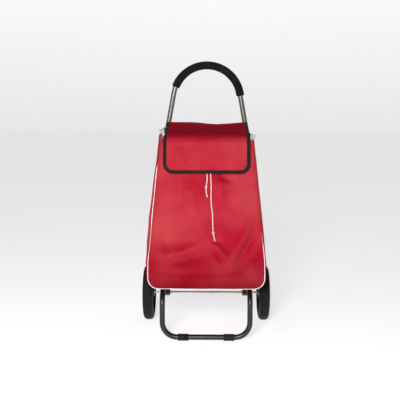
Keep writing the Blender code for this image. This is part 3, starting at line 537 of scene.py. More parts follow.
MATERIALS = {
    "bag_fabric": bag_fabric(),
    "collar_lining": cloth("collar_lining", (0.42, 0.435, 0.46), 0.75, 0.0009, 0.0001, 0.10),
    "inner_lining": cloth("inner_lining", (0.030, 0.030, 0.033), 0.7, 0.0012),
    "piping": cloth("piping", (0.80, 0.69, 0.69), 0.48, 0.0008, 0.00006, 0.05),
    "binding": cloth("binding", (0.009, 0.007, 0.005), 0.75, 0.0010, 0.0002),
    "webbing": cloth("webbing", (0.019, 0.019, 0.020), 0.74, 0.0016, 0.0004),
    "hook_and_loop": cloth("hook_and_loop", (0.016, 0.016, 0.017), 0.9, 0.0007, 0.0004),
    "board": moulded("board", (0.045, 0.043, 0.040), 0.75),
    "thread": cloth("thread", (0.30, 0.012, 0.022), 0.6, 0.0006),
    "dark_thread": cloth("dark_thread", (0.035, 0.033, 0.030), 0.6, 0.0006),
    "drawcord": drawcord(),
    "foam": foam(),
    "handle": lacquered("handle_lacquer", (0.13, 0.127, 0.124), 0.30, 0.75, 0.2),
    "tube": lacquered("black_lacquer", (0.005, 0.0045, 0.004), 0.36, 0.0, 0.10),
    "steel": zinc(),
    "bracket_plastic": moulded("bracket_plastic", (0.010, 0.010, 0.010), 0.45),
    "rim_plastic": moulded("rim_plastic", (0.014, 0.014, 0.015), 0.40),
    "tyre": moulded("tyre_rubber", (0.0065, 0.0055, 0.0045), 0.60, 500.0, 0.0003),
    "bush_nylon": moulded("bush_nylon", (0.55, 0.54, 0.51), 0.45),
    "sleeve_rubber": moulded("sleeve_rubber", (0.010, 0.010, 0.010), 0.7, 600.0, 0.0003),
}


def finish_piece(made, material, *replaces, slot=None, body="frame"):
    made.data.materials.append(MATERIALS[material])
    if body:
        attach(made, body)
    for node in replaces:
        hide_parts(node)
    return made


# ---- camera, light and floor

LENS, SENSOR = 62.21, 36
CAMERA_PLACE = (0, AXLE.y - 2.5, 0.7243)
CAMERA_TURNS = ((0.543, "Z"), (90 - 6.441, "X"), (0.143, "Z"))      # yaw, tilt and roll, in degrees
AIM = Vector((0, 0, 0.45))
FLOOR_SIZE = 60.0


def add_camera():
    """Straight in front at about the height of the flap, looking slightly down."""
    lens = bpy.data.cameras.new("camera")
    lens.lens = LENS
    lens.sensor_width = SENSOR
    camera = bpy.data.objects.new("camera", lens)
    bpy.context.scene.collection.objects.link(camera)
    place = Matrix.Translation(CAMERA_PLACE)
    for angle, axis in CAMERA_TURNS:
        place = place @ Matrix.Rotation(math.radians(angle), 4, axis)
    camera.matrix_world = place
    bpy.context.scene.camera = camera


def add_softbox(name, place, size, power):
    light = bpy.data.lights.new(name, "AREA")
    light.shape = "RECTANGLE"
    light.size, light.size_y = size
    light.energy = power
    made = bpy.data.objects.new(name, light)
    made.location = place
    made.rotation_euler = (AIM - Vector(place)).to_track_quat("-Z", "Y").to_euler()
    bpy.context.scene.collection.objects.link(made)


def add_studio():
    """Bright pale surroundings, dimmer overhead, and two soft boxes in front."""
    scene = bpy.context.scene
    scene.view_settings.view_transform = "Standard"
    scene.world = bpy.data.worlds.new("studio")
    scene.world.use_nodes = True
    sky = Nodes(scene.world.node_tree)
    way = sky.split(sky.add("TexCoord").outputs["Generated"])
    ahead = sky.add("MapRange", Value=way["Y"], From_Min=-1).outputs[0]
    level = sky.times(sky.ramp(way["Z"], (0.0, 0.81), (0.18, 0.97), (0.40, 0.14)),
                      sky.ramp(ahead, (0.25, 0.58), (0.5, 0.70), (0.92, 1.0)))
    sky.feed(sky.tree.nodes["Background"].inputs["Color"], level)
    add_softbox("key", (-0.45, -3.0, 1.30), (0.7, 0.7), 74)
    add_softbox("fill", (-1.9, -2.3, 1.6), (1.1, 1.4), 5)
    pale = Shade("studio_floor", 0.9, Emission_Color=(1, 1, 1, 1), Emission_Strength=0.62)
    pale.colour(pale.between(pale.noise(3.0, 2.0), 0.84, 0.87))
    corners = [(x * FLOOR_SIZE, y * FLOOR_SIZE, 0) for x, y in ((-1, -1), (1, -1), (1, 1), (-1, 1))]
    floor = new_object("floor", corners, [(0, 1, 2, 3)])
    floor.data.materials.append(pale.material)


# ---- drawcords

CORD_RADIUS = 0.002
BRAID_PITCH = 0.0075
# across, height and distance off the bag's front face of the points that each cord passes
LEFT_ROUTE = [
    (-0.0120, 0.6315, 0.0040), (-0.0120, 0.6200, 0.0036), (-0.0105, 0.6040, 0.0028),
    (-0.0055, 0.5840, 0.0027), (-0.0005, 0.5660, 0.0027), (0.0018, 0.5480, 0.0029),
    (0.0012, 0.5300, 0.0038), (-0.0012, 0.5120, 0.0054), (-0.0006, 0.4960, 0.0042),
    (0.0020, 0.4790, 0.0030),
]
RIGHT_ROUTE = [
    (0.0120, 0.6315, 0.0040), (0.0120, 0.6200, 0.0036), (0.0126, 0.6020, 0.0028),
    (0.0130, 0.5780, 0.0027), (0.0132, 0.5540, 0.0028), (0.0146, 0.5280, 0.0030),
    (0.0152, 0.5000, 0.0028), (0.0150, 0.4720, 0.0027), (0.0166, 0.4480, 0.0029),
    (0.0194, 0.4300, 0.0028), (0.0206, 0.4080, 0.0027), (0.0208, 0.3860, 0.0036),
    (0.0226, 0.3630, 0.0054), (0.0256, 0.3480, 0.0042), (0.0282, 0.3370, 0.0030),
]
LEFT_KNOT, RIGHT_KNOT = 7, 12      # which point of its route each knot sits on


def braid(name, path):
    """A round braided cord: two sets of crossing strands raised on a soft core."""
    rows = []
    travelled = 0.0
    frames = frames_along(path)
    for i, (point, (_, normal, side)) in enumerate(zip(path, frames)):
        travelled += (point - path[max(i - 1, 0)]).length
        turn = travelled / BRAID_PITCH * 2 * math.pi
        ring = []
        for a in turns(24):
            strand = max(math.cos(4 * (a + turn / 4)), math.cos(4 * (a - turn / 4)))
            reach = CORD_RADIUS * (0.955 + 0.06 * strand)
            ring.append(point + reach * toward(a, normal, side))
        rows.append(ring)
    return lofted(name, with_ends(rows, path, frames, (0.5, 0.6), (0.0004, 0.0008)), smooth_angle=0)


def knot(name, centre, along):
    """An overhand knot: the cord turned twice round itself."""
    along = along.normalized()
    normal = along.orthogonal().normalized()
    side = along.cross(normal)
    path = []
    for t in spread(0, 1, 70):
        a = 2 * math.pi * 2.2 * t
        out = 0.0033 - 0.0013 * abs(2 * t - 1) ** 3
        path.append(centre + along * (t - 0.5) * 0.0078 + out * toward(a, normal, side))
    return rod(name, path, 0.0016, 12, 0.0005)


def add_cord(side, route, at):
    points = [Vector((x, front_y(z) - off, z)) for x, z, off in route]
    path = smooth(points, 0.0009)
    cord = finish_piece(braid(side + "_cord", path), "drawcord", side + "_drawcord")
    tied = knot(side + "_knot", points[at], points[at + 1] - points[at - 1])
    finish_piece(tied, "drawcord", side + "_cord_knot")
    add_outlet(side)


def add_outlet(side):
    """Moulded ferrule under the flap that the cord hangs out of."""
    radius, half, lip = 0.0034, 0.006, 0.0008
    axis = Vector((0, FRONT_SLOPE, 1))
    profile = both_sides([(radius, half - lip), (radius - lip, half), (CORD_RADIUS + 0.0003, half)])
    made = turned(side + "_outlet", profile, middle(side + "_cord_outlet"), axis, 32, True)
    finish_piece(made, "bracket_plastic", side + "_cord_outlet")


# ---- tube frame

ARCH_RADIUS = 0.1185
FLARE = math.radians(10.3)
FLARE_BEND_RADIUS = 0.060
GRIP_RADIUS = 0.014
GRIP_LEFT_END = math.radians(180.0 - 21.2)
GRIP_RIGHT_RUN = 0.009
GRIP_END_STEPS = 4
FOOT_BEND_RADIUS = 0.050
ARCH_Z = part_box("handle_tube")[1].z - TUBE_RADIUS - ARCH_RADIUS
JOINT_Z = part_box("right_upright")[1].z


def mirrored(half):
    return half + [Vector((-p.x, p.y, p.z)) for p in reversed(half)]


def add_handle():
    """Swaged ends, legs, flare bends and arch, from the centre line of the right half."""
    low_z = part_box("handle_tube")[0].z
    tangent_point = Vector((ARCH_RADIUS * math.cos(FLARE), 0, ARCH_Z + ARCH_RADIUS * math.sin(FLARE)))
    turn = FLARE_BEND_RADIUS * (1 - math.cos(FLARE))
    bend_top = tangent_point.z - (FRAME_X - turn - tangent_point.x) / math.tan(FLARE)
    centre = (FRAME_X - FLARE_BEND_RADIUS, UPRIGHT_Y, bend_top - FLARE_BEND_RADIUS * math.sin(FLARE))
    low = [Vector((FRAME_X, UPRIGHT_Y, z)) for z in (low_z, JOINT_Z, JOINT_Z + 0.0015, JOINT_Z + 0.004)]
    bend = arc(centre, ALONG_X, ALONG_Z, FLARE_BEND_RADIUS, 0, FLARE, 6)
    arch = arc((0, UPRIGHT_Y, ARCH_Z), ALONG_X, ALONG_Z, ARCH_RADIUS, FLARE, math.pi / 2, 40)
    route = mirrored(low + bend + arch)
    swage = TUBE_RADIUS - TUBE_WALL - 0.0003
    end = [swage, swage, TUBE_RADIUS - 0.0006]
    radii = end + [TUBE_RADIUS] * (len(route) - 6) + end[::-1]
    finish_piece(pipe("handle", route, radii, TUBE_WALL), "handle", "handle_tube", slot="tube")


def add_grip():
    """Foam sleeve pushed over the arch, with soft rounded ends and a slightly uneven skin."""
    arch = arc((0, UPRIGHT_Y, ARCH_Z), ALONG_X, ALONG_Z, ARCH_RADIUS, FLARE, GRIP_LEFT_END, 150)
    leg = Vector((math.sin(FLARE), 0, -math.cos(FLARE)))
    route = [arch[0] + leg * GRIP_RIGHT_RUN * (1 - i / 5) for i in range(5)] + arch
    outer, inner = [], []
    for i, (point, (_, normal, side)) in enumerate(zip(route, frames_along(route))):
        soft = rounding(min(i, len(route) - 1 - i) / GRIP_END_STEPS, 0.0022)
        ring = []
        for a in turns(48):
            way = toward(a, normal, side)
            dent = 0.0004 * noise.noise((point + way * GRIP_RADIUS) * 40)
            ring.append(point + way * (GRIP_RADIUS - soft + dent))
        outer.append(ring)
        inner.append(ring_across(point, normal, side, TUBE_RADIUS + 0.0004, 48))
    made = finish_piece(lofted("grip", outer + inner[::-1], closed=True), "foam", "foam_grip")


def add_upright(side, sign):
    low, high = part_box(side + "_upright")
    route = [Vector((sign * FRAME_X, UPRIGHT_Y, z)) for z in spread(low.z, high.z, 8)]
    tube = pipe(side + "_post", route, [TUBE_RADIUS] * len(route), TUBE_WALL)
    finish_piece(tube, "tube", side + "_upright")
    heart = middle(side + "_handle_screw")
    heart.y = UPRIGHT_Y
    reach = TUBE_RADIUS + 0.0003
    profile = [(0.0008, -reach - 0.0002), (0.0020, -reach), (0.0020, reach), (0.0040, reach),
               (0.0040, reach + 0.0012), (0.0030, reach + 0.0023), (0.0017, reach + 0.0025),
               (0.0016, reach + 0.0012), (0.0006, reach + 0.0010)]
    finish_piece(turned(side + "_screw", profile, heart, ALONG_Y, 24), "steel", side + "_handle_screw")


def add_crossbar(node, name):
    low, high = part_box(node)
    z = (low.z + high.z) / 2
    route = [Vector((x, UPRIGHT_Y, z)) for x in spread(low.x, high.x, 24)]
    finish_piece(rod(name, route, BAR_RADIUS), "tube", node)
    for side, sign in SIDES:
        add_weld(f"{name}_weld_{side}", Vector((sign * high.x, UPRIGHT_Y, z)), sign)


def add_weld(name, heart, sign):
    """Bead of weld where a crossbar meets an upright."""
    rows = []
    for a in turns(48):
        way = toward(a, ALONG_Y, ALONG_Z)
        bulge = 0.0011 + 0.00025 * math.sin(9 * a)
        saddle = TUBE_RADIUS - math.sqrt(TUBE_RADIUS ** 2 - (BAR_RADIUS * math.cos(a)) ** 2)
        base = heart + way * (BAR_RADIUS + 0.0001) + ALONG_X * sign * (saddle - 0.0006)
        rows.append([base + bulge * toward(b, way, -ALONG_X * sign) for b in turns(10)])
    finish_piece(lofted(name, rows, closed=True), "tube")


def foot_route():
    low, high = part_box("foot_frame")
    rail_z = high.z - TUBE_RADIUS
    bar_z = low.z + TUBE_RADIUS
    leg_y = low.y + TUBE_RADIUS
    r = FOOT_BEND_RADIUS
    rail = [Vector((FRAME_X, y, rail_z)) for y in spread(high.y, leg_y + r, 6)[:-1]]
    knee = arc((FRAME_X, leg_y + r, rail_z - r), ALONG_Z, -ALONG_Y, r, 0, math.pi / 2, 16)
    ankle = arc((FRAME_X - r, leg_y, bar_z + r), ALONG_X, -ALONG_Z, r, 0, math.pi / 2, 16)
    bar = [Vector((x, leg_y, bar_z)) for x in spread(FRAME_X - r, 0, 4)[1:-1]]
    return mirrored(rail + knee + ankle + bar)


def add_foot():
    route = foot_route()
    tube = pipe("foot", route, [TUBE_RADIUS] * len(route), TUBE_WALL)
    finish_piece(tube, "tube", "foot_frame")
    for side, _ in SIDES:
        add_sleeve(side)
        add_bolt(side)
    for name in ("front_slat", "rear_slat"):
        add_slat(name)


def add_sleeve(side):
    """Ribbed rubber sleeve with a flat sole."""
    low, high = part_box(side + "_foot_sleeve")
    reach = (high.y - low.y) / 2
    y = (low.y + high.y) / 2
    z = high.z - reach
    end_round, bore = 0.0012, TUBE_RADIUS + 0.0002
    outer, inner = [], []
    for t in spread(0, 1, 70):
        x = low.x + (high.x - low.x) * t
        soft = rounding(min(t, 1 - t) * (high.x - low.x) / end_round, end_round)
        groove = 0.0007 * (0.5 - 0.5 * math.cos(2 * math.pi * t * 7)) if 0.08 < t < 0.92 else 0.0
        r = reach - soft - groove
        ring = [(math.cos(a), math.sin(a)) for a in turns(64, 0.5)]
        outer.append([Vector((x, y + r * u, max(low.z + soft * 0.5, z + r * v))) for u, v in ring])
        inner.append([Vector((x, y + bore * u, z + bore * v)) for u, v in ring])
    made = lofted(side + "_sleeve", outer + inner[::-1], closed=True, smooth_angle=50)
    finish_piece(made, "sleeve_rubber", side + "_foot_sleeve")


def add_slat(node):
    """Moulded cross piece with ribs under it."""
    low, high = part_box(node)
    top = slab(node + "_top", (low.x, low.y, high.z - 0.0022), high, 0.0009)
    finish_piece(top, "bracket_plastic", node)
    for k, y in enumerate((low.y + 0.0013, (low.y + high.y) / 2, high.y - 0.0013)):
        ends = (low.x + 0.02, y - 0.0011, low.z), (high.x - 0.02, y + 0.0011, high.z - 0.0020)
        finish_piece(slab(f"{node}_rib_{k}", *ends, 0.0005), "bracket_plastic")


def add_bolt(side):
    """Hexagon bolt and nut through the bracket's arm."""
    low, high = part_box(side + "_bracket_bolt")
    heart = (low + high) / 2
    half = (high.x - low.x) / 2
    head = 0.003
    parts = [turned("shank", [(0.0025, -half + 0.001), (0.0025, half - 0.001)], heart, ALONG_X, 20)]
    for way in (-1, 1):
        place = heart + ALONG_X * way * (half - head)
        hexagon = [(0.0045, 0), (0.0045, head - 0.0006), (0.0039, head)]
        washer = [(0.0052, -0.0001), (0.0052, 0.0006), (0.0026, 0.0006)]
        for profile, sides in ((hexagon, 6), (washer, 24)):
            parts.append(turned("end", profile, place, ALONG_X * way, sides))
    finish_piece(joined(side + "_bolt", parts), "steel", side + "_bracket_bolt")


def dress(node, material, edge):
    """Keep a CAD node in view, with eased edges and a better material."""
    made = bevel(frame["nodes"][node], edge, 2)
    made.data.materials.clear()
    made.data.materials.append(MATERIALS[material])


def add_bracket(side):
    """Moulded axle bracket: the CAD shape with eased edges and a raised boss on each face."""
    dress(side + "_axle_bracket", "bracket_plastic", 0.0009)
    low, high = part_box(side + "_axle_bracket")
    profile = [(0.0112, -0.0004), (0.0112, 0.0006), (0.0104, 0.0011), (0.0075, 0.0011), (0.0072, 0.0004),
               (0.0062, 0.0004), (0.0062, -0.0004)]
    for way, x in ((-1, low.x), (1, high.x)):
        name = f"{side}_boss_{'outer' if way * x > 0 else 'inner'}"
        finish_piece(turned(name, profile, (x, AXLE.y, AXLE.z), ALONG_X * way, 40, True), "bracket_plastic")


def add_frame_parts():
    add_handle()
    add_grip()
    for side, sign in SIDES:
        add_upright(side, sign)
        add_bracket(side)
    add_crossbar("upper_crossbar", "hanging_bar")
    add_crossbar("lower_crossbar", "stiffening_bar")
    add_foot()


# ---- wheels and axle

WHEEL_RADIUS = 0.100
WHEEL_WIDTH = 0.038
RIM_RADIUS = 0.076        # where the tyre sits
RIM_INNER = RIM_RADIUS - 0.007
HUB_RADIUS = 0.0150       # where the spokes start, inside the hub's wall
HUB_HALF = 0.017
SPOKES = 5
TREAD_GROOVES = (-0.0080, 0.0, 0.0080)


def tyre_profile():
    """Soft rounded tyre with three shallow rings cut in its tread, as (radius, along)."""
    seat = RIM_RADIUS + 0.0003
    points = [(seat, 0.0122)]
    for a in spread(0, math.pi, 84)[1:-1]:
        along = WHEEL_WIDTH / 2 * math.copysign(abs(math.cos(a)) ** 0.80, math.cos(a))
        radius = seat + (WHEEL_RADIUS - seat) * math.sin(a) ** 0.62
        for groove in TREAD_GROOVES:
            radius -= 0.0009 * hump(along, groove, 0.0011) if radius > WHEEL_RADIUS - 0.012 else 0.0
        points.append((radius, along))
    return points + [(seat, -0.0122)]


def add_wheel(side, sign):
    body = side + "_wheel"
    heart = Vector((sign * WHEEL_X, AXLE.y, AXLE.z))
    tyre = turned(side + "_tyre_rubber", tyre_profile(), heart, ALONG_X, 160, True, 30)
    finish_piece(tyre, "tyre", side + "_tyre", body=body)
    finish_piece(rim_piece(side, heart), "rim_plastic", side + "_rim", body=body)
    bush = [(0.0060, -HUB_HALF), (0.0060, HUB_HALF), (0.0056, HUB_HALF + 0.0002), (0.0040, HUB_HALF + 0.0002),
            (0.0038, HUB_HALF), (0.0038, -HUB_HALF)]
    made = turned(side + "_sleeve_bush", bush, heart, ALONG_X * sign, 40, True)
    finish_piece(made, "bush_nylon", side + "_bush", body=body)
    cap = [(radius, HUB_HALF + along) for radius, along in (
        (0.0118, 0.0003), (0.0120, 0.0006), (0.0119, 0.0011), (0.0105, 0.0015), (0.0070, 0.0014),
        (0.0066, 0.0009), (0.0030, 0.0008))]
    made = turned(side + "_cap", cap, heart, ALONG_X * sign, 48)
    finish_piece(made, "bracket_plastic", side + "_hub_cap", body=body)
    low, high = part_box(side + "_washer")
    reach = (high.x - low.x) / 2
    ring = both_sides([(0.0100, reach - 0.0002), (0.0098, reach), (0.0038, reach)])
    made = turned(side + "_thrust_washer", ring, (low + high) / 2, ALONG_X, 40, True)
    finish_piece(made, "steel", side + "_washer")


def rim_piece(side, heart):
    """Moulded wheel centre: seat ring with flanges, ribbed spokes and a hub with fins."""
    ring = both_sides([(RIM_RADIUS, 0.0120), (RIM_RADIUS - 0.0008, 0.0128), (RIM_RADIUS - 0.0030, 0.0128),
                       (RIM_RADIUS - 0.0036, 0.0118), (RIM_INNER + 0.0015, 0.0060), (RIM_INNER, 0.0035)])
    hub = both_sides([(0.0170, 0.0150), (0.0160, 0.0170), (0.0122, 0.0170), (0.0118, 0.0150),
                      (0.0080, 0.0150), (0.0063, 0.0169)])
    parts = [turned("ring", ring, heart, ALONG_X, 120, True), turned("hub", hub, heart, ALONG_X, 72, True)]
    for a in turns(SPOKES, 0.5):
        a += math.pi / 2
        out = toward(a, ALONG_Y, ALONG_Z)
        across = toward(a, ALONG_Z, -ALONG_Y)
        parts.append(web(heart, out, across, RIM_INNER + 0.001, 16, 20, 0.35,
                         lambda t: 0.0072 + 0.0040 * (2 * t - 1) ** 4 + 0.0012 * (1 - t), lambda t: 0.0030))
        for way in (-1, 1):
            parts.append(web(heart + across * way * 0.0070, out, across, RIM_INNER, 12, 12, 0.5,
                             lambda t: 0.0011, lambda t: 0.0090 - 0.0045 * math.sin(math.pi * t) ** 0.7))
    return joined(side + "_wheel_centre", parts)


def web(start, out, across, stop, steps, sides, power, half, deep):
    """A bar from the hub to the rim, rounded by a power, its half width and half depth set along it."""
    section = [[math.copysign(abs(v) ** power, v) for v in (math.cos(a), math.sin(a))] for a in turns(sides)]
    rows = []
    for t in spread(0, 1, steps):
        base = start + out * (HUB_RADIUS + (stop - HUB_RADIUS) * t)
        rows.append([base + across * half(t) * wide + ALONG_X * deep(t) * high for wide, high in section])
    return lofted("web", rows)


def add_axle():
    low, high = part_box("axle")
    half = (high.x - low.x) / 2
    shoulder = WHEEL_X - HUB_HALF - 0.0021
    profile = [(0.0030, -half), (0.0035, -half + 0.0006), (0.0035, -shoulder), (0.0052, -shoulder),
               (0.0052, -shoulder + 0.0020), (0.0035, -shoulder + 0.0020)]
    profile += [(r, -x) for r, x in reversed(profile)]
    finish_piece(turned("wheel_axle", profile, AXLE, ALONG_X, 32), "steel", "axle")


# ---- bag

RIM_FRONT_Z = flap_line(front_y(FOLD.z)) - RIM_BELOW_FLAP
EAR_Z = {-1: 0.684, 1: 0.666}      # how high the bag's side stands beside the flap
FRONT_COLUMNS = 84
SIDE_COLUMNS = 40
BACK_COLUMNS = 48
CORNER_SHARE = 0.16           # of a side's columns in each of its corners
FLAT_SHARE = 0.68             # of them between the corners
REAR_SHARE = 0.84             # where the rear corner starts
WALL = 0.0012
REAR_GATHER = 0.060           # how much the drawn cord narrows the rim's rear
FOLD_DEPTH = 3.1              # scales the heights of the creases below
SEAM_STEP = 0.004
COLLAR_STEP = 0.0016
PLEAT = 0.0098
BOARD_CORNER = 0.016

# the front's creases: spine of (across, height) points, width and height
FRONT_FOLDS = [([Vector(p) for p in spine], width, height) for spine, width, height in (
    ([(0.136, 0.384), (0.118, 0.346), (0.094, 0.306), (0.074, 0.264)], 0.017, 0.0046),
    ([(0.168, 0.392), (0.150, 0.345), (0.124, 0.298), (0.100, 0.254)], 0.012, -0.0040),
    ([(0.018, 0.336), (0.040, 0.312), (0.062, 0.286), (0.076, 0.262)], 0.010, 0.0030),
    ([(0.022, 0.312), (0.042, 0.288), (0.062, 0.262)], 0.008, -0.0022),
    ([(-0.184, 0.296), (-0.130, 0.291), (-0.080, 0.300), (-0.034, 0.318), (-0.010, 0.345)], 0.015, 0.0030),
    ([(-0.120, 0.268), (-0.070, 0.270), (-0.020, 0.288)], 0.016, -0.0026),
    ([(-0.150, 0.390), (-0.138, 0.340), (-0.128, 0.310)], 0.016, -0.0020),
    ([(0.040, 0.560), (0.046, 0.500), (0.058, 0.430)], 0.013, 0.0022),
    ([(0.030, 0.572), (0.052, 0.545), (0.085, 0.532)], 0.010, -0.0034),
    ([(-0.030, 0.570), (-0.050, 0.500), (-0.040, 0.440), (-0.020, 0.400)], 0.017, 0.0020),
    ([(-0.105, 0.560), (-0.085, 0.480), (-0.100, 0.420)], 0.022, -0.0014),
    ([(0.120, 0.560), (0.104, 0.470), (0.116, 0.400)], 0.022, 0.0014),
    ([(0.150, 0.300), (0.128, 0.262), (0.100, 0.238)], 0.014, -0.0020),
    ([(-0.160, 0.236), (-0.060, 0.228), (0.060, 0.232), (0.150, 0.238)], 0.010, -0.0011),
)]


def crease(place, spine, width, height):
    """How far a crease lifts the front at a place, faded towards the ends of its spine."""
    near = []
    for i, (a, b) in enumerate(zip(spine, spine[1:])):
        run = b - a
        share = clamp((place - a).dot(run) / run.length_squared)
        near.append(((place - (a + run * share)).length, (i + share) / (len(spine) - 1)))
    apart, along = min(near)
    fade = math.sin(math.pi * clamp(along, 0.03, 0.97)) ** 0.6
    return FOLD_DEPTH * height * fade * math.exp(-(apart / width) ** 2)


def cord_zone(x, z):
    """1 where a drawcord lies on the front, fading to 0 beside it."""
    near = 0.0
    for route in (LEFT_ROUTE, RIGHT_ROUTE):
        if z > route[-1][1] - 0.012:
            apart = min(abs(x - px) + max(0.0, abs(z - pz) - 0.014) for px, pz, _ in route)
            near = max(near, ease((0.020 - apart) / 0.012))
    return near


def front_relief(x, z, reach):
    """How far the front panel stands out of its plane."""
    edge = reach - abs(x)
    low = z - BAG_LOW.z
    relief = -0.0030 + 0.0036 * (1 - math.exp(-edge / 0.020))
    relief += 0.0056 * ease(low / 0.030) * (1 - ease((low - 0.035) / 0.120)) * ease(edge / 0.035)
    creases = sum(crease(Vector((x, z)), *fold) for fold in FRONT_FOLDS)
    relief += creases * ease(edge / 0.030) * ease(low / 0.045)
    place = Vector((x, 0.0, z))
    relief += 0.0024 * noise.noise(place * 10) + 0.0010 * noise.noise(place * 24 + Vector((5, 0, 0)))
    for share, most in ((cord_zone(x, z), -0.0001), (ease((z - 0.575) / 0.020), 0.0002)):
        relief = relief * (1 - share) + share * min(relief, most)
    return relief


def side_relief(sign, share, z):
    """How far a side panel stands out; the left one is slacker."""
    height = (z - BAG_LOW.z) / (FOLD.z - BAG_LOW.z)
    slack = 0.0085 if sign < 0 else 0.0016
    bulge = slack * math.sin(math.pi * min(1.0, height * 1.05)) * math.sin(math.pi * share) ** 0.7
    tuck = -0.0055 * ease((height - 0.55) / 0.4) * hump(share, 0.5, 0.42)
    place = Vector((sign * 3.0, share * 2.2, z * 7.0))
    ridge = 1 - abs(noise.noise(place + Vector((0, z * 4, 0)))) * 3
    wrinkle = 0.0024 * max(0.0, ridge) ** 2 + 0.0016 * noise.noise(place * 2.3)
    return bulge + tuck + wrinkle * math.sin(math.pi * share) * ease(height * 6)


def back_relief(x, z):
    place = Vector((x * 9, 4.0, z * 9))
    slack = 0.0010 * noise.noise(place) + 0.0006 * noise.noise(place * 2.4)
    return min(0.0, slack - 0.0006)


def beside_flap(x):
    """0 under the flap, 1 just outside it."""
    return ease((abs(x) - FLAP_HALF_WIDTH - 0.0008) / 0.003)


def rim_z(x, y):
    """Height of the bag's rim: under the flap, and higher beside it."""
    under = flap_line(y) - RIM_BELOW_FLAP
    ear = EAR_Z[-1 if x < 0 else 1]
    back_z = flap_line(BAG_HIGH.y) - RIM_BELOW_FLAP
    progress = (y - front_y(FOLD.z)) / (BAG_HIGH.y - front_y(FOLD.z))
    beside = ear + (back_z - ear) * ease(progress) ** 1.4
    return under + (beside - under) * beside_flap(x)


def side_point(share, half, front, back):
    """(x, y) on a side, from the front seam's rounded corner to the back's."""
    if share < CORNER_SHARE:
        a = math.pi / 2 * share / CORNER_SHARE
        return half - SEAM_INSET + SEAM_INSET * math.sin(a), front + SEAM_DEPTH * (1 - math.cos(a))
    if share < REAR_SHARE:
        run = back - BACK_CORNER - front - SEAM_DEPTH
        return half, front + SEAM_DEPTH + run * (share - CORNER_SHARE) / FLAT_SHARE
    a = math.pi / 2 * (share - REAR_SHARE) / CORNER_SHARE
    return half - BACK_CORNER * (1 - math.cos(a)), back - BACK_CORNER * (1 - math.sin(a))


def plan(z, narrow, shallow):
    """The bag's outline at a height, anticlockwise from the front's left seam, as (x, y, part, share)."""
    half = half_width(z) - narrow
    front = front_y(z) + shallow
    back = BAG_HIGH.y - shallow
    made = []
    for t in spread(-1, 1, FRONT_COLUMNS):
        t = math.copysign(1 - (1 - abs(t)) ** 1.15, t)
        made.append(((half - SEAM_INSET) * t, front, "front", t))
    side = [(*side_point(t, half, front, back), "side", t) for t in spread(0, 1, SIDE_COLUMNS)[1:-1]]
    inner = half - BACK_CORNER
    return (made + side + [(inner * t, back, "back", 0.0) for t in spread(1, -1, BACK_COLUMNS)]
            + [(-x, *rest) for x, *rest in reversed(side)])


def bag_row(height, inset=0.0):
    """One ring of the bag's skin, drawn in by an inset."""
    z_plan = BAG_LOW.z + height
    narrow, shallow = (rounding(height / depth, depth) for depth in (LOWER_CORNER, BOTTOM_EDGE))
    share = height / (RIM_FRONT_Z - BAG_LOW.z)
    row = []
    for x, y, part, along in plan(z_plan, narrow, shallow):
        z = BAG_LOW.z + share * (rim_z(x, y) - BAG_LOW.z)
        sign = 1 if x > 0 else -1
        if part == "front":
            reach = abs(x) if abs(along) == 1 else half_width(z) - narrow - SEAM_INSET
            out, relief = -ALONG_Y, front_relief(x, z, reach)
            y += (z - z_plan) * FRONT_SLOPE
        elif part == "side":
            out, relief = ALONG_X * sign, side_relief(sign, along, z)
        else:
            out, relief = ALONG_Y, back_relief(x, z)
        point = Vector((x, y, z + (inset if height == 0 else 0))) + out * (relief - inset)
        point.x *= 1 - REAR_GATHER * ease((y - front_y(z) - 0.03) / 0.12) * ease((z - 0.50) / 0.20)
        row.append(point)
    return row


def bag_levels():
    top = RIM_FRONT_Z - BAG_LOW.z
    curve = [LOWER_CORNER * (1 - math.cos(a)) for a in spread(0, math.pi / 2, 14)]
    return curve + spread(LOWER_CORNER, top, 84)[1:]


def add_bag():
    """Fabric shell, its dark coated inside, the floor board, piping and seams."""
    levels = bag_levels()
    rows = [bag_row(height) for height in levels]
    linings = [bag_row(height, WALL) for height in levels]
    rim = [[(a + b) / 2 + Vector((0, 0, 0.0006)) for a, b in zip(rows[-1], linings[-1])]]
    finish_piece(lofted("bag", rows + rim, top=False, smooth_angle=38), "bag_fabric", "bag_body")
    lining = lofted("bag_inside", [row[::-1] for row in linings + rim], top=False, smooth_angle=38)
    finish_piece(lining, "inner_lining", slot="bag_fabric")
    add_piping(rows)
    add_back_seams(rows)
    add_floor_board()
    add_collar()


def seam_path(rows, column, opposite):
    """From the rim down one seam, along the bottom edge and up the other seam."""
    low, high = sorted((column, opposite))
    along = rows[0][low:high + 1]
    if column > opposite:
        along = along[::-1]
    path = [row[column] for row in reversed(rows)] + along[1:-1] + [row[opposite] for row in rows]
    return relaxed(even(path, SEAM_STEP), 6)


def add_piping(rows):
    """Pale piping sewn into the seam round the front, with stitches beside it."""
    line = seam_path(rows, FRONT_COLUMNS, 0)
    outs = [Vector((point.x, 0, min(0.0, point.z - BAG_LOW.z - 0.05))).normalized() for point in line]
    path = []
    for point, out in zip(line, outs):
        rise = ease((point.z - 0.30) / 0.16)
        ahead = -0.0060 * rise if point.x > 0 else 0.0024 * rise - 0.0090 * ease((point.z - 0.57) / 0.04)
        path.append(point + out * (0.0009 + 0.3 * abs(ahead)) - Vector((0, 0.0020 + ahead, 0)))
    finish_piece(rod("front_cording", path, 0.0015, 14, 0.0008), "piping", "front_piping")
    inset = [point - out * 0.0052 - ALONG_Y * 0.0009 for point, out in zip(line, outs)][3:-3]
    stitches("front_seam_stitches", inset, -ALONG_Y, "thread", "bag_fabric")


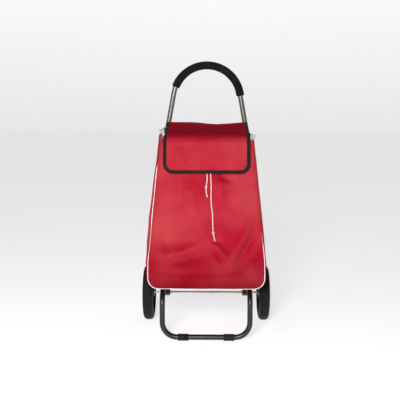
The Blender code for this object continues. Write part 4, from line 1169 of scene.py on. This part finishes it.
def add_back_seams(rows):
    """Bound seam round the back panel."""
    first = FRONT_COLUMNS + SIDE_COLUMNS
    line = seam_path(rows, first, first + BACK_COLUMNS)
    path = [p + Vector((math.copysign(0.0004, p.x), 0.0008, 0)) for p in line]
    finish_piece(rod("back_seam", path, 0.0014, 10, 0.0006), "bag_fabric")
    above = [p for p in line[4:-4] if p.z > BAG_LOW.z + 0.04]
    inset = [p + Vector((-math.copysign(0.0060, p.x), 0.0003, 0)) for p in above]
    half = len(inset) // 2
    for name, part in (("right", inset[:half]), ("left", inset[half:])):
        stitches(f"back_seam_{name}_stitches", part, ALONG_Y, "thread", "bag_fabric")


def add_floor_board():
    low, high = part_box("base_board")
    r = BOARD_CORNER
    outline = []
    for x, y, start in ((high.x - r, low.y + r, -90), (high.x - r, high.y - r, 0),
                        (low.x + r, high.y - r, 90), (low.x + r, low.y + r, 180)):
        outline += arc((x, y, 0), ALONG_X, ALONG_Y, r, math.radians(start), math.radians(start + 90), 8)
    rows = [[Vector((p.x, p.y, z)) for p in outline] for z in (low.z, high.z)]
    finish_piece(bevel(lofted("floor_board", rows), 0.0006, 2), "board", "base_board", slot="base_board")


def add_collar():
    """Gathered collar inside the rim: pleats that deepen upward to a hem for the cord."""
    ring = bag_row(RIM_FRONT_Z - BAG_LOW.z)
    line = even(ring + ring[:1], COLLAR_STEP)[:-1]
    levels = [(-0.016, 0.0), (-0.010, 0.05), (-0.004, 0.12), (0.001, 0.25), (0.005, 0.45), (0.009, 0.75),
              (0.0105, 1.0), (0.0115, 0.9), (0.0135, 1.0), (0.0155, 0.95), (0.0170, 0.8)]
    outer, inner = [], []
    for lift, depth in levels:
        hem = 0.0011 * hump(lift, 0.0135, 0.0042)
        draw = 0.0034 * ease(lift / 0.017)
        row_out, row_in = [], []
        for i, point in enumerate(line):
            along = (line[(i + 1) % len(line)] - line[i - 1]).normalized()
            out = Vector((along.y, -along.x, 0)).normalized()
            height = lift * (1.0 if lift < 0 else 0.58 + 0.42 * beside_flap(point.x))
            phase = i * COLLAR_STEP / PLEAT * 2 * math.pi + 2.4 * noise.noise(point * 30)
            wave = math.sin(phase) * (0.75 + 0.5 * noise.noise(point * 55 + Vector((9, 0, 0))))
            up = height + 0.0008 * noise.noise(point * 24) * depth
            base = point - out * (0.0034 + draw) + Vector((0, 0, up))
            row_out.append(base + out * (0.0016 * depth * wave + hem + 0.0005))
            row_in.append(base + out * (0.0016 * depth * wave - hem - 0.0005))
        outer.append(row_out)
        inner.append(row_in)
    made = lofted("collar", outer + inner[::-1], closed=True, smooth_angle=0)
    finish_piece(made, "collar_lining", "drawstring_collar")


# ---- back of the bag

STRAP_THICK = 0.002
STRAP_EASE = 0.0006
SMALL_STITCH = {"pitch": 0.0026, "length": 0.0019, "radius": 0.0003}


def hinge_sag(x):
    """The rear edge hangs a little between its sewn ends."""
    return 0.0065 * hump(x, 0.038, 0.105)


def add_hem_band():
    """Folded band that carries the flap's rear edge, with two rows of stitching."""
    low, high = BAND_LOW, BAND_HIGH
    outline = [(low.y, low.z), (high.y, low.z + 0.0006), (high.y + 0.0004, (low.z + high.z) / 2),
               (high.y, high.z - 0.0012), ((low.y + high.y) / 2, high.z), (low.y, high.z - 0.0006)]
    rows = []
    for x in spread(low.x, high.x, 60):
        drop = hinge_sag(x) / (high.z - low.z)
        uneven = [0.0004 * noise.noise(Vector((x * 30, 0, z * 30))) for _, z in outline]
        rows.append([Vector((x, y + more, z - drop * (z - low.z))) for (y, z), more in zip(outline, uneven)])
    finish_piece(lofted("hem_band", rows), "binding", "rear_hem_band")
    for k, z in enumerate((low.z + 0.004, low.z + 0.048)):
        path = [Vector((x, high.y + 0.0005, z)) for x in spread(low.x + 0.004, high.x - 0.004, 80)]
        stitches(f"hem_stitches_{k}", path, ALONG_Y, "dark_thread", "binding")


def add_strap(side):
    """Webbing loop over the hanging bar, held by a capped stud, with a crossed box of stitching."""
    low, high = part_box(side + "_hanging_strap")
    half = STRAP_THICK / 2
    z_bar = middle("upper_crossbar").z
    radius = BAR_RADIUS + 0.0004 + half
    front, rear = low.y + half, UPRIGHT_Y + radius
    up = [(front, low.z + 0.001), (front, z_bar - 0.006), (front + 0.001, z_bar)]
    over = arc((0, UPRIGHT_Y, z_bar), -ALONG_Y, ALONG_Z, radius, math.radians(30), math.pi, 16)
    down = [(rear, z_bar - 0.008), (rear - 0.0006, z_bar - 0.018), (rear - 0.0004, low.z + 0.002)]
    path = [Vector((0, y, z)) for y, z in up] + over + [Vector((0, y, z)) for y, z in down]
    line = relaxed(even(path, 0.0015), 3)
    x0, x1 = low.x, high.x
    mid, in0, in1 = (x0 + x1) / 2, x0 + STRAP_EASE, x1 - STRAP_EASE
    section = [(x0, 0.6), (in0, 1), (x0 + 0.004, 1), (mid, 1), (x1 - 0.004, 1), (in1, 1), (x1, 0.6),
               (x1, -0.6), (in1, -1), (mid, -1), (in0, -1), (x0, -0.6)]
    rows = []
    for i, point in enumerate(line):
        along = tangent(line, i)
        out = Vector((0, along.z, -along.y))
        rows.append([Vector((x, point.y, point.z)) + out * half * lift for x, lift in section])
    finish_piece(lofted(side + "_strap", rows), "webbing", side + "_hanging_strap")
    heart = middle(side + "_strap_stud")
    heart.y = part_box(side + "_strap_stud")[0].y
    profile = [(0.0060, -0.0004), (0.0060, 0.0003), (0.0056, 0.0008), (0.0042, 0.0013), (0.0020, 0.0015),
               (0.0006, 0.0015)]
    finish_piece(turned(side + "_stud", profile, heart, ALONG_Y, 40), "steel", side + "_strap_stud")
    z0, z1 = low.z + 0.0035, low.z + 0.016
    x0, x1 = x0 + 0.003, x1 - 0.003
    path = [Vector((x, high.y - 0.0001, z))
            for x, z in ((x0, z0), (x1, z0), (x1, z1), (x0, z1), (x0, z0), (x1, z1))]
    stitches(side + "_strap_stitches", path, ALONG_Y, "dark_thread", "webbing", **SMALL_STITCH)


# ---- flap

FOLD_RADIUS = 0.040
FLAP_HALF = 0.0012        # half the cloth's thickness
FLAP_INSET = 0.0015       # how far the cloth ends inside the binding's edge
TAPE_FACE = 0.0024
PATCH_SEAM = 0.0025

# the flap's middle line seen from the side: straight, round the fold, straight
TOP_RUN = FOLD - HINGE
TOP_RUN.x = 0
TOP = TOP_RUN.normalized()
DOWN = Vector((0, -math.sin(LEAN), -math.cos(LEAN)))
FOLD_TURN = math.acos(TOP.dot(DOWN))
FOLD_CUT = FOLD_RADIUS * math.tan(FOLD_TURN / 2)
TOP_END = TOP_RUN.length - FOLD_CUT
FRONT_START = TOP_END + FOLD_RADIUS * FOLD_TURN
FLAP_LENGTH = FRONT_START - FOLD_CUT + FLAP_DROP


def flap_place(s):
    """Point of the flap's middle line at a distance from the hinge, and its direction there."""
    if s <= TOP_END:
        return HINGE + TOP * s, TOP
    if s <= FRONT_START:
        a = (s - TOP_END) / FOLD_RADIUS
        inward = Vector((0, -TOP.z, TOP.y))
        centre = FOLD - TOP * FOLD_CUT + inward * FOLD_RADIUS
        way = toward(a, TOP, inward).normalized()
        return centre + FOLD_RADIUS * toward(a, -inward, TOP), way
    return FOLD + DOWN * (s - FRONT_START + FOLD_CUT), DOWN


def flap_relief(x, s):
    """How far the flap's cloth stands off its own middle line, outward."""
    side = FLAP_HALF_WIDTH - abs(x)
    if s < TOP_END:
        t = s / TOP_END
        relief = -0.0050 * math.sin(math.pi * t) * ease(side / 0.05) - hinge_sag(x) * (1 - ease(t / 0.75))
    else:
        low = (s - FRONT_START) / (FLAP_LENGTH - FRONT_START)
        relief = 0.0030 * math.sin(math.pi * clamp(low) ** 0.8) * ease(side / 0.03)
        for height, centre, reach, low_centre, low_reach in (
                (0.0016, -0.088, 0.022, 0.35, 0.45), (-0.0015, -0.070, 0.018, 0.30, 0.40),
                (0.0013, 0.060, 0.050, 0.55, 0.35), (-0.0010, 0.070, 0.060, 0.82, 0.10)):
            relief += height * hump(x, centre, reach) * hump(low, low_centre, low_reach)
        relief *= ease((1 - low) / 0.25)
    place = Vector((x * 12, s * 12, 2.0))
    ripple = 0.0011 * noise.noise(place) + 0.0005 * noise.noise(place * 2.6)
    return relief + ripple * ease(min(side, FLAP_LENGTH - s) / 0.02)


def flap_point(x, s, lift=0.0):
    """A point on the flap, and the outward normal of its smooth middle line."""
    base, way = flap_place(clamp(s, 0.0, FLAP_LENGTH))
    out = Vector((0, way.z, -way.y))
    point = base + out * (flap_relief(x, s) + lift)
    point.x = x
    return point, out


def flap_outline(inset):
    """The flap's edge from one end of the hinge round to the other, as (x, s, inward x, inward s)."""
    corner = FLAP_CORNER - inset
    width = FLAP_HALF_WIDTH - inset
    bottom = FLAP_LENGTH - inset
    right = [(width, s, -1.0, 0.0) for s in spread(0.0, bottom - corner, 72)[:-1]]
    for a in spread(0.0, math.pi / 2, 16):
        u, v = math.cos(a), math.sin(a)
        right.append((width - corner + corner * u, bottom - corner + corner * v, -u, -v))
    across = [(x, bottom, 0.0, -1.0) for x in spread(width - corner, corner - width, 60)[1:-1]]
    return right + across + [(-x, s, -ix, si) for x, s, ix, si in reversed(right)]


def flap_rows():
    """Rows of (x, s) across the flap at each distance from the hinge, narrowed in the lower corners."""
    width = FLAP_HALF_WIDTH - FLAP_INSET
    corner = FLAP_CORNER - FLAP_INSET
    bottom = FLAP_LENGTH - FLAP_INSET
    stations = [bottom * i / 130 for i in range(119)]
    first = stations[-1]
    stations += [first + (bottom - first) * math.sin(a) for a in spread(0, math.pi / 2, 16)[1:]]
    rows = []
    for s in stations:
        dip = max(0.0, s - (bottom - corner))
        half = width - corner + math.sqrt(max(0.0, corner ** 2 - dip ** 2))
        rows.append([(x, s) for x in spread(-half, half, 90)])
    return rows


def flap_blend(made):
    """Bakes the piece's placement into its mesh."""
    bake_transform(made)


def add_flap():
    rows = flap_rows()
    upper, lower = [[[flap_point(x, s, lift)[0] for x, s in row] for row in rows]
                    for lift in (FLAP_HALF, -FLAP_HALF)]
    made = finish_piece(shell("flap_cloth", upper, lower), "bag_fabric", "flap_top", "flap_front", body=None)
    flap_blend(made)
    add_flap_binding()
    add_flap_hinge()
    add_patches()


def add_flap_binding():
    """Black tape folded over the flap's edge, with a row of stitches on each face."""
    section = [(-0.0014, 0.0), (-0.0012, 0.0014), (-0.0004, 0.0022), (0.0015, 0.0025), (0.0050, 0.0024),
               (0.0090, 0.0023), (0.0100, 0.0015)]
    section += [(a, -n) for a, n in reversed(section[1:])]
    rows = []
    for x, s, ix, si in flap_outline(0.0014):
        ring = []
        for a, n in section:
            point, _ = flap_point(x + ix * a, s + si * a, n)
            ring.append(point + DOWN * max(0.0, s + si * a - FLAP_LENGTH))
        rows.append(ring)
    made = lofted("flap_tape", rows)
    flap_blend(finish_piece(made, "binding", "flap_front_binding", "left_flap_top_binding",
                            "right_flap_top_binding", body=None))
    line = flap_outline(BINDING_WIDTH - 0.0022)[2:-2]
    for name, way in (("outer", 1), ("inner", -1)):
        path, outs = zip(*[flap_point(x, s, way * TAPE_FACE) for x, s, _, _ in line])
        outs = [out * way for out in outs]
        flap_blend(stitches(f"flap_tape_{name}_stitches", path, outs, "dark_thread", "binding", None))


def add_flap_hinge():
    """Strip of the flap's own cloth that runs over the sewn rear edge onto the hem band."""
    width = BAND_HIGH.x - 0.002
    upper, lower = [], []
    for t in spread(0, 1, 14):
        pairs = []
        for x in spread(-width, width, 60):
            if t < 0.5:
                z = HINGE.z - 0.016 + t / 0.5 * 0.0135 - hinge_sag(x)
                pairs.append((Vector((x, BAND_HIGH.y + 0.0007, z)), ALONG_Y))
            else:
                pairs.append(flap_point(x, 0.0006 + (t - 0.5) / 0.5 * 0.010, FLAP_HALF + 0.0005))
        upper.append([heart + out * 0.0004 for heart, out in pairs])
        lower.append([heart - out * 0.0004 for heart, out in pairs])
    made = finish_piece(shell("flap_rear_edge", upper, lower), "bag_fabric", body=None)
    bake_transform(made)


def add_patches():
    """Hook tape inside the flap and loop tape on the bag, both sewn round."""
    for node, name, body, out in (("flap_hook_patch", "hook_tape", "flap_drop", ALONG_Y),
                                  ("bag_loop_patch", "loop_tape", "frame", -ALONG_Y)):
        dress(node, "hook_and_loop", 0.0004)
        low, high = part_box(node)
        y = high.y if out.y > 0 else low.y
        x0, x1, z0, z1 = low.x + PATCH_SEAM, high.x - PATCH_SEAM, low.z + PATCH_SEAM, high.z - PATCH_SEAM
        corners = [Vector((x, y, z)) for x, z in ((x0, z0), (x1, z0), (x1, z1), (x0, z1), (x0, z0))]
        path = [p for a, b in zip(corners, corners[1:]) for p in spread(a, b, 30)[:-1]]
        stitches(f"{name}_stitches", path, out, "dark_thread", "binding", body)


# ---- whole scene

add_camera()
add_studio()
add_cord("left", LEFT_ROUTE, LEFT_KNOT)
add_cord("right", RIGHT_ROUTE, RIGHT_KNOT)
add_frame_parts()
add_axle()
for side, sign in SIDES:
    add_wheel(side, sign)
add_bag()
add_hem_band()
for side, _ in SIDES:
    add_strap(side)
add_flap()
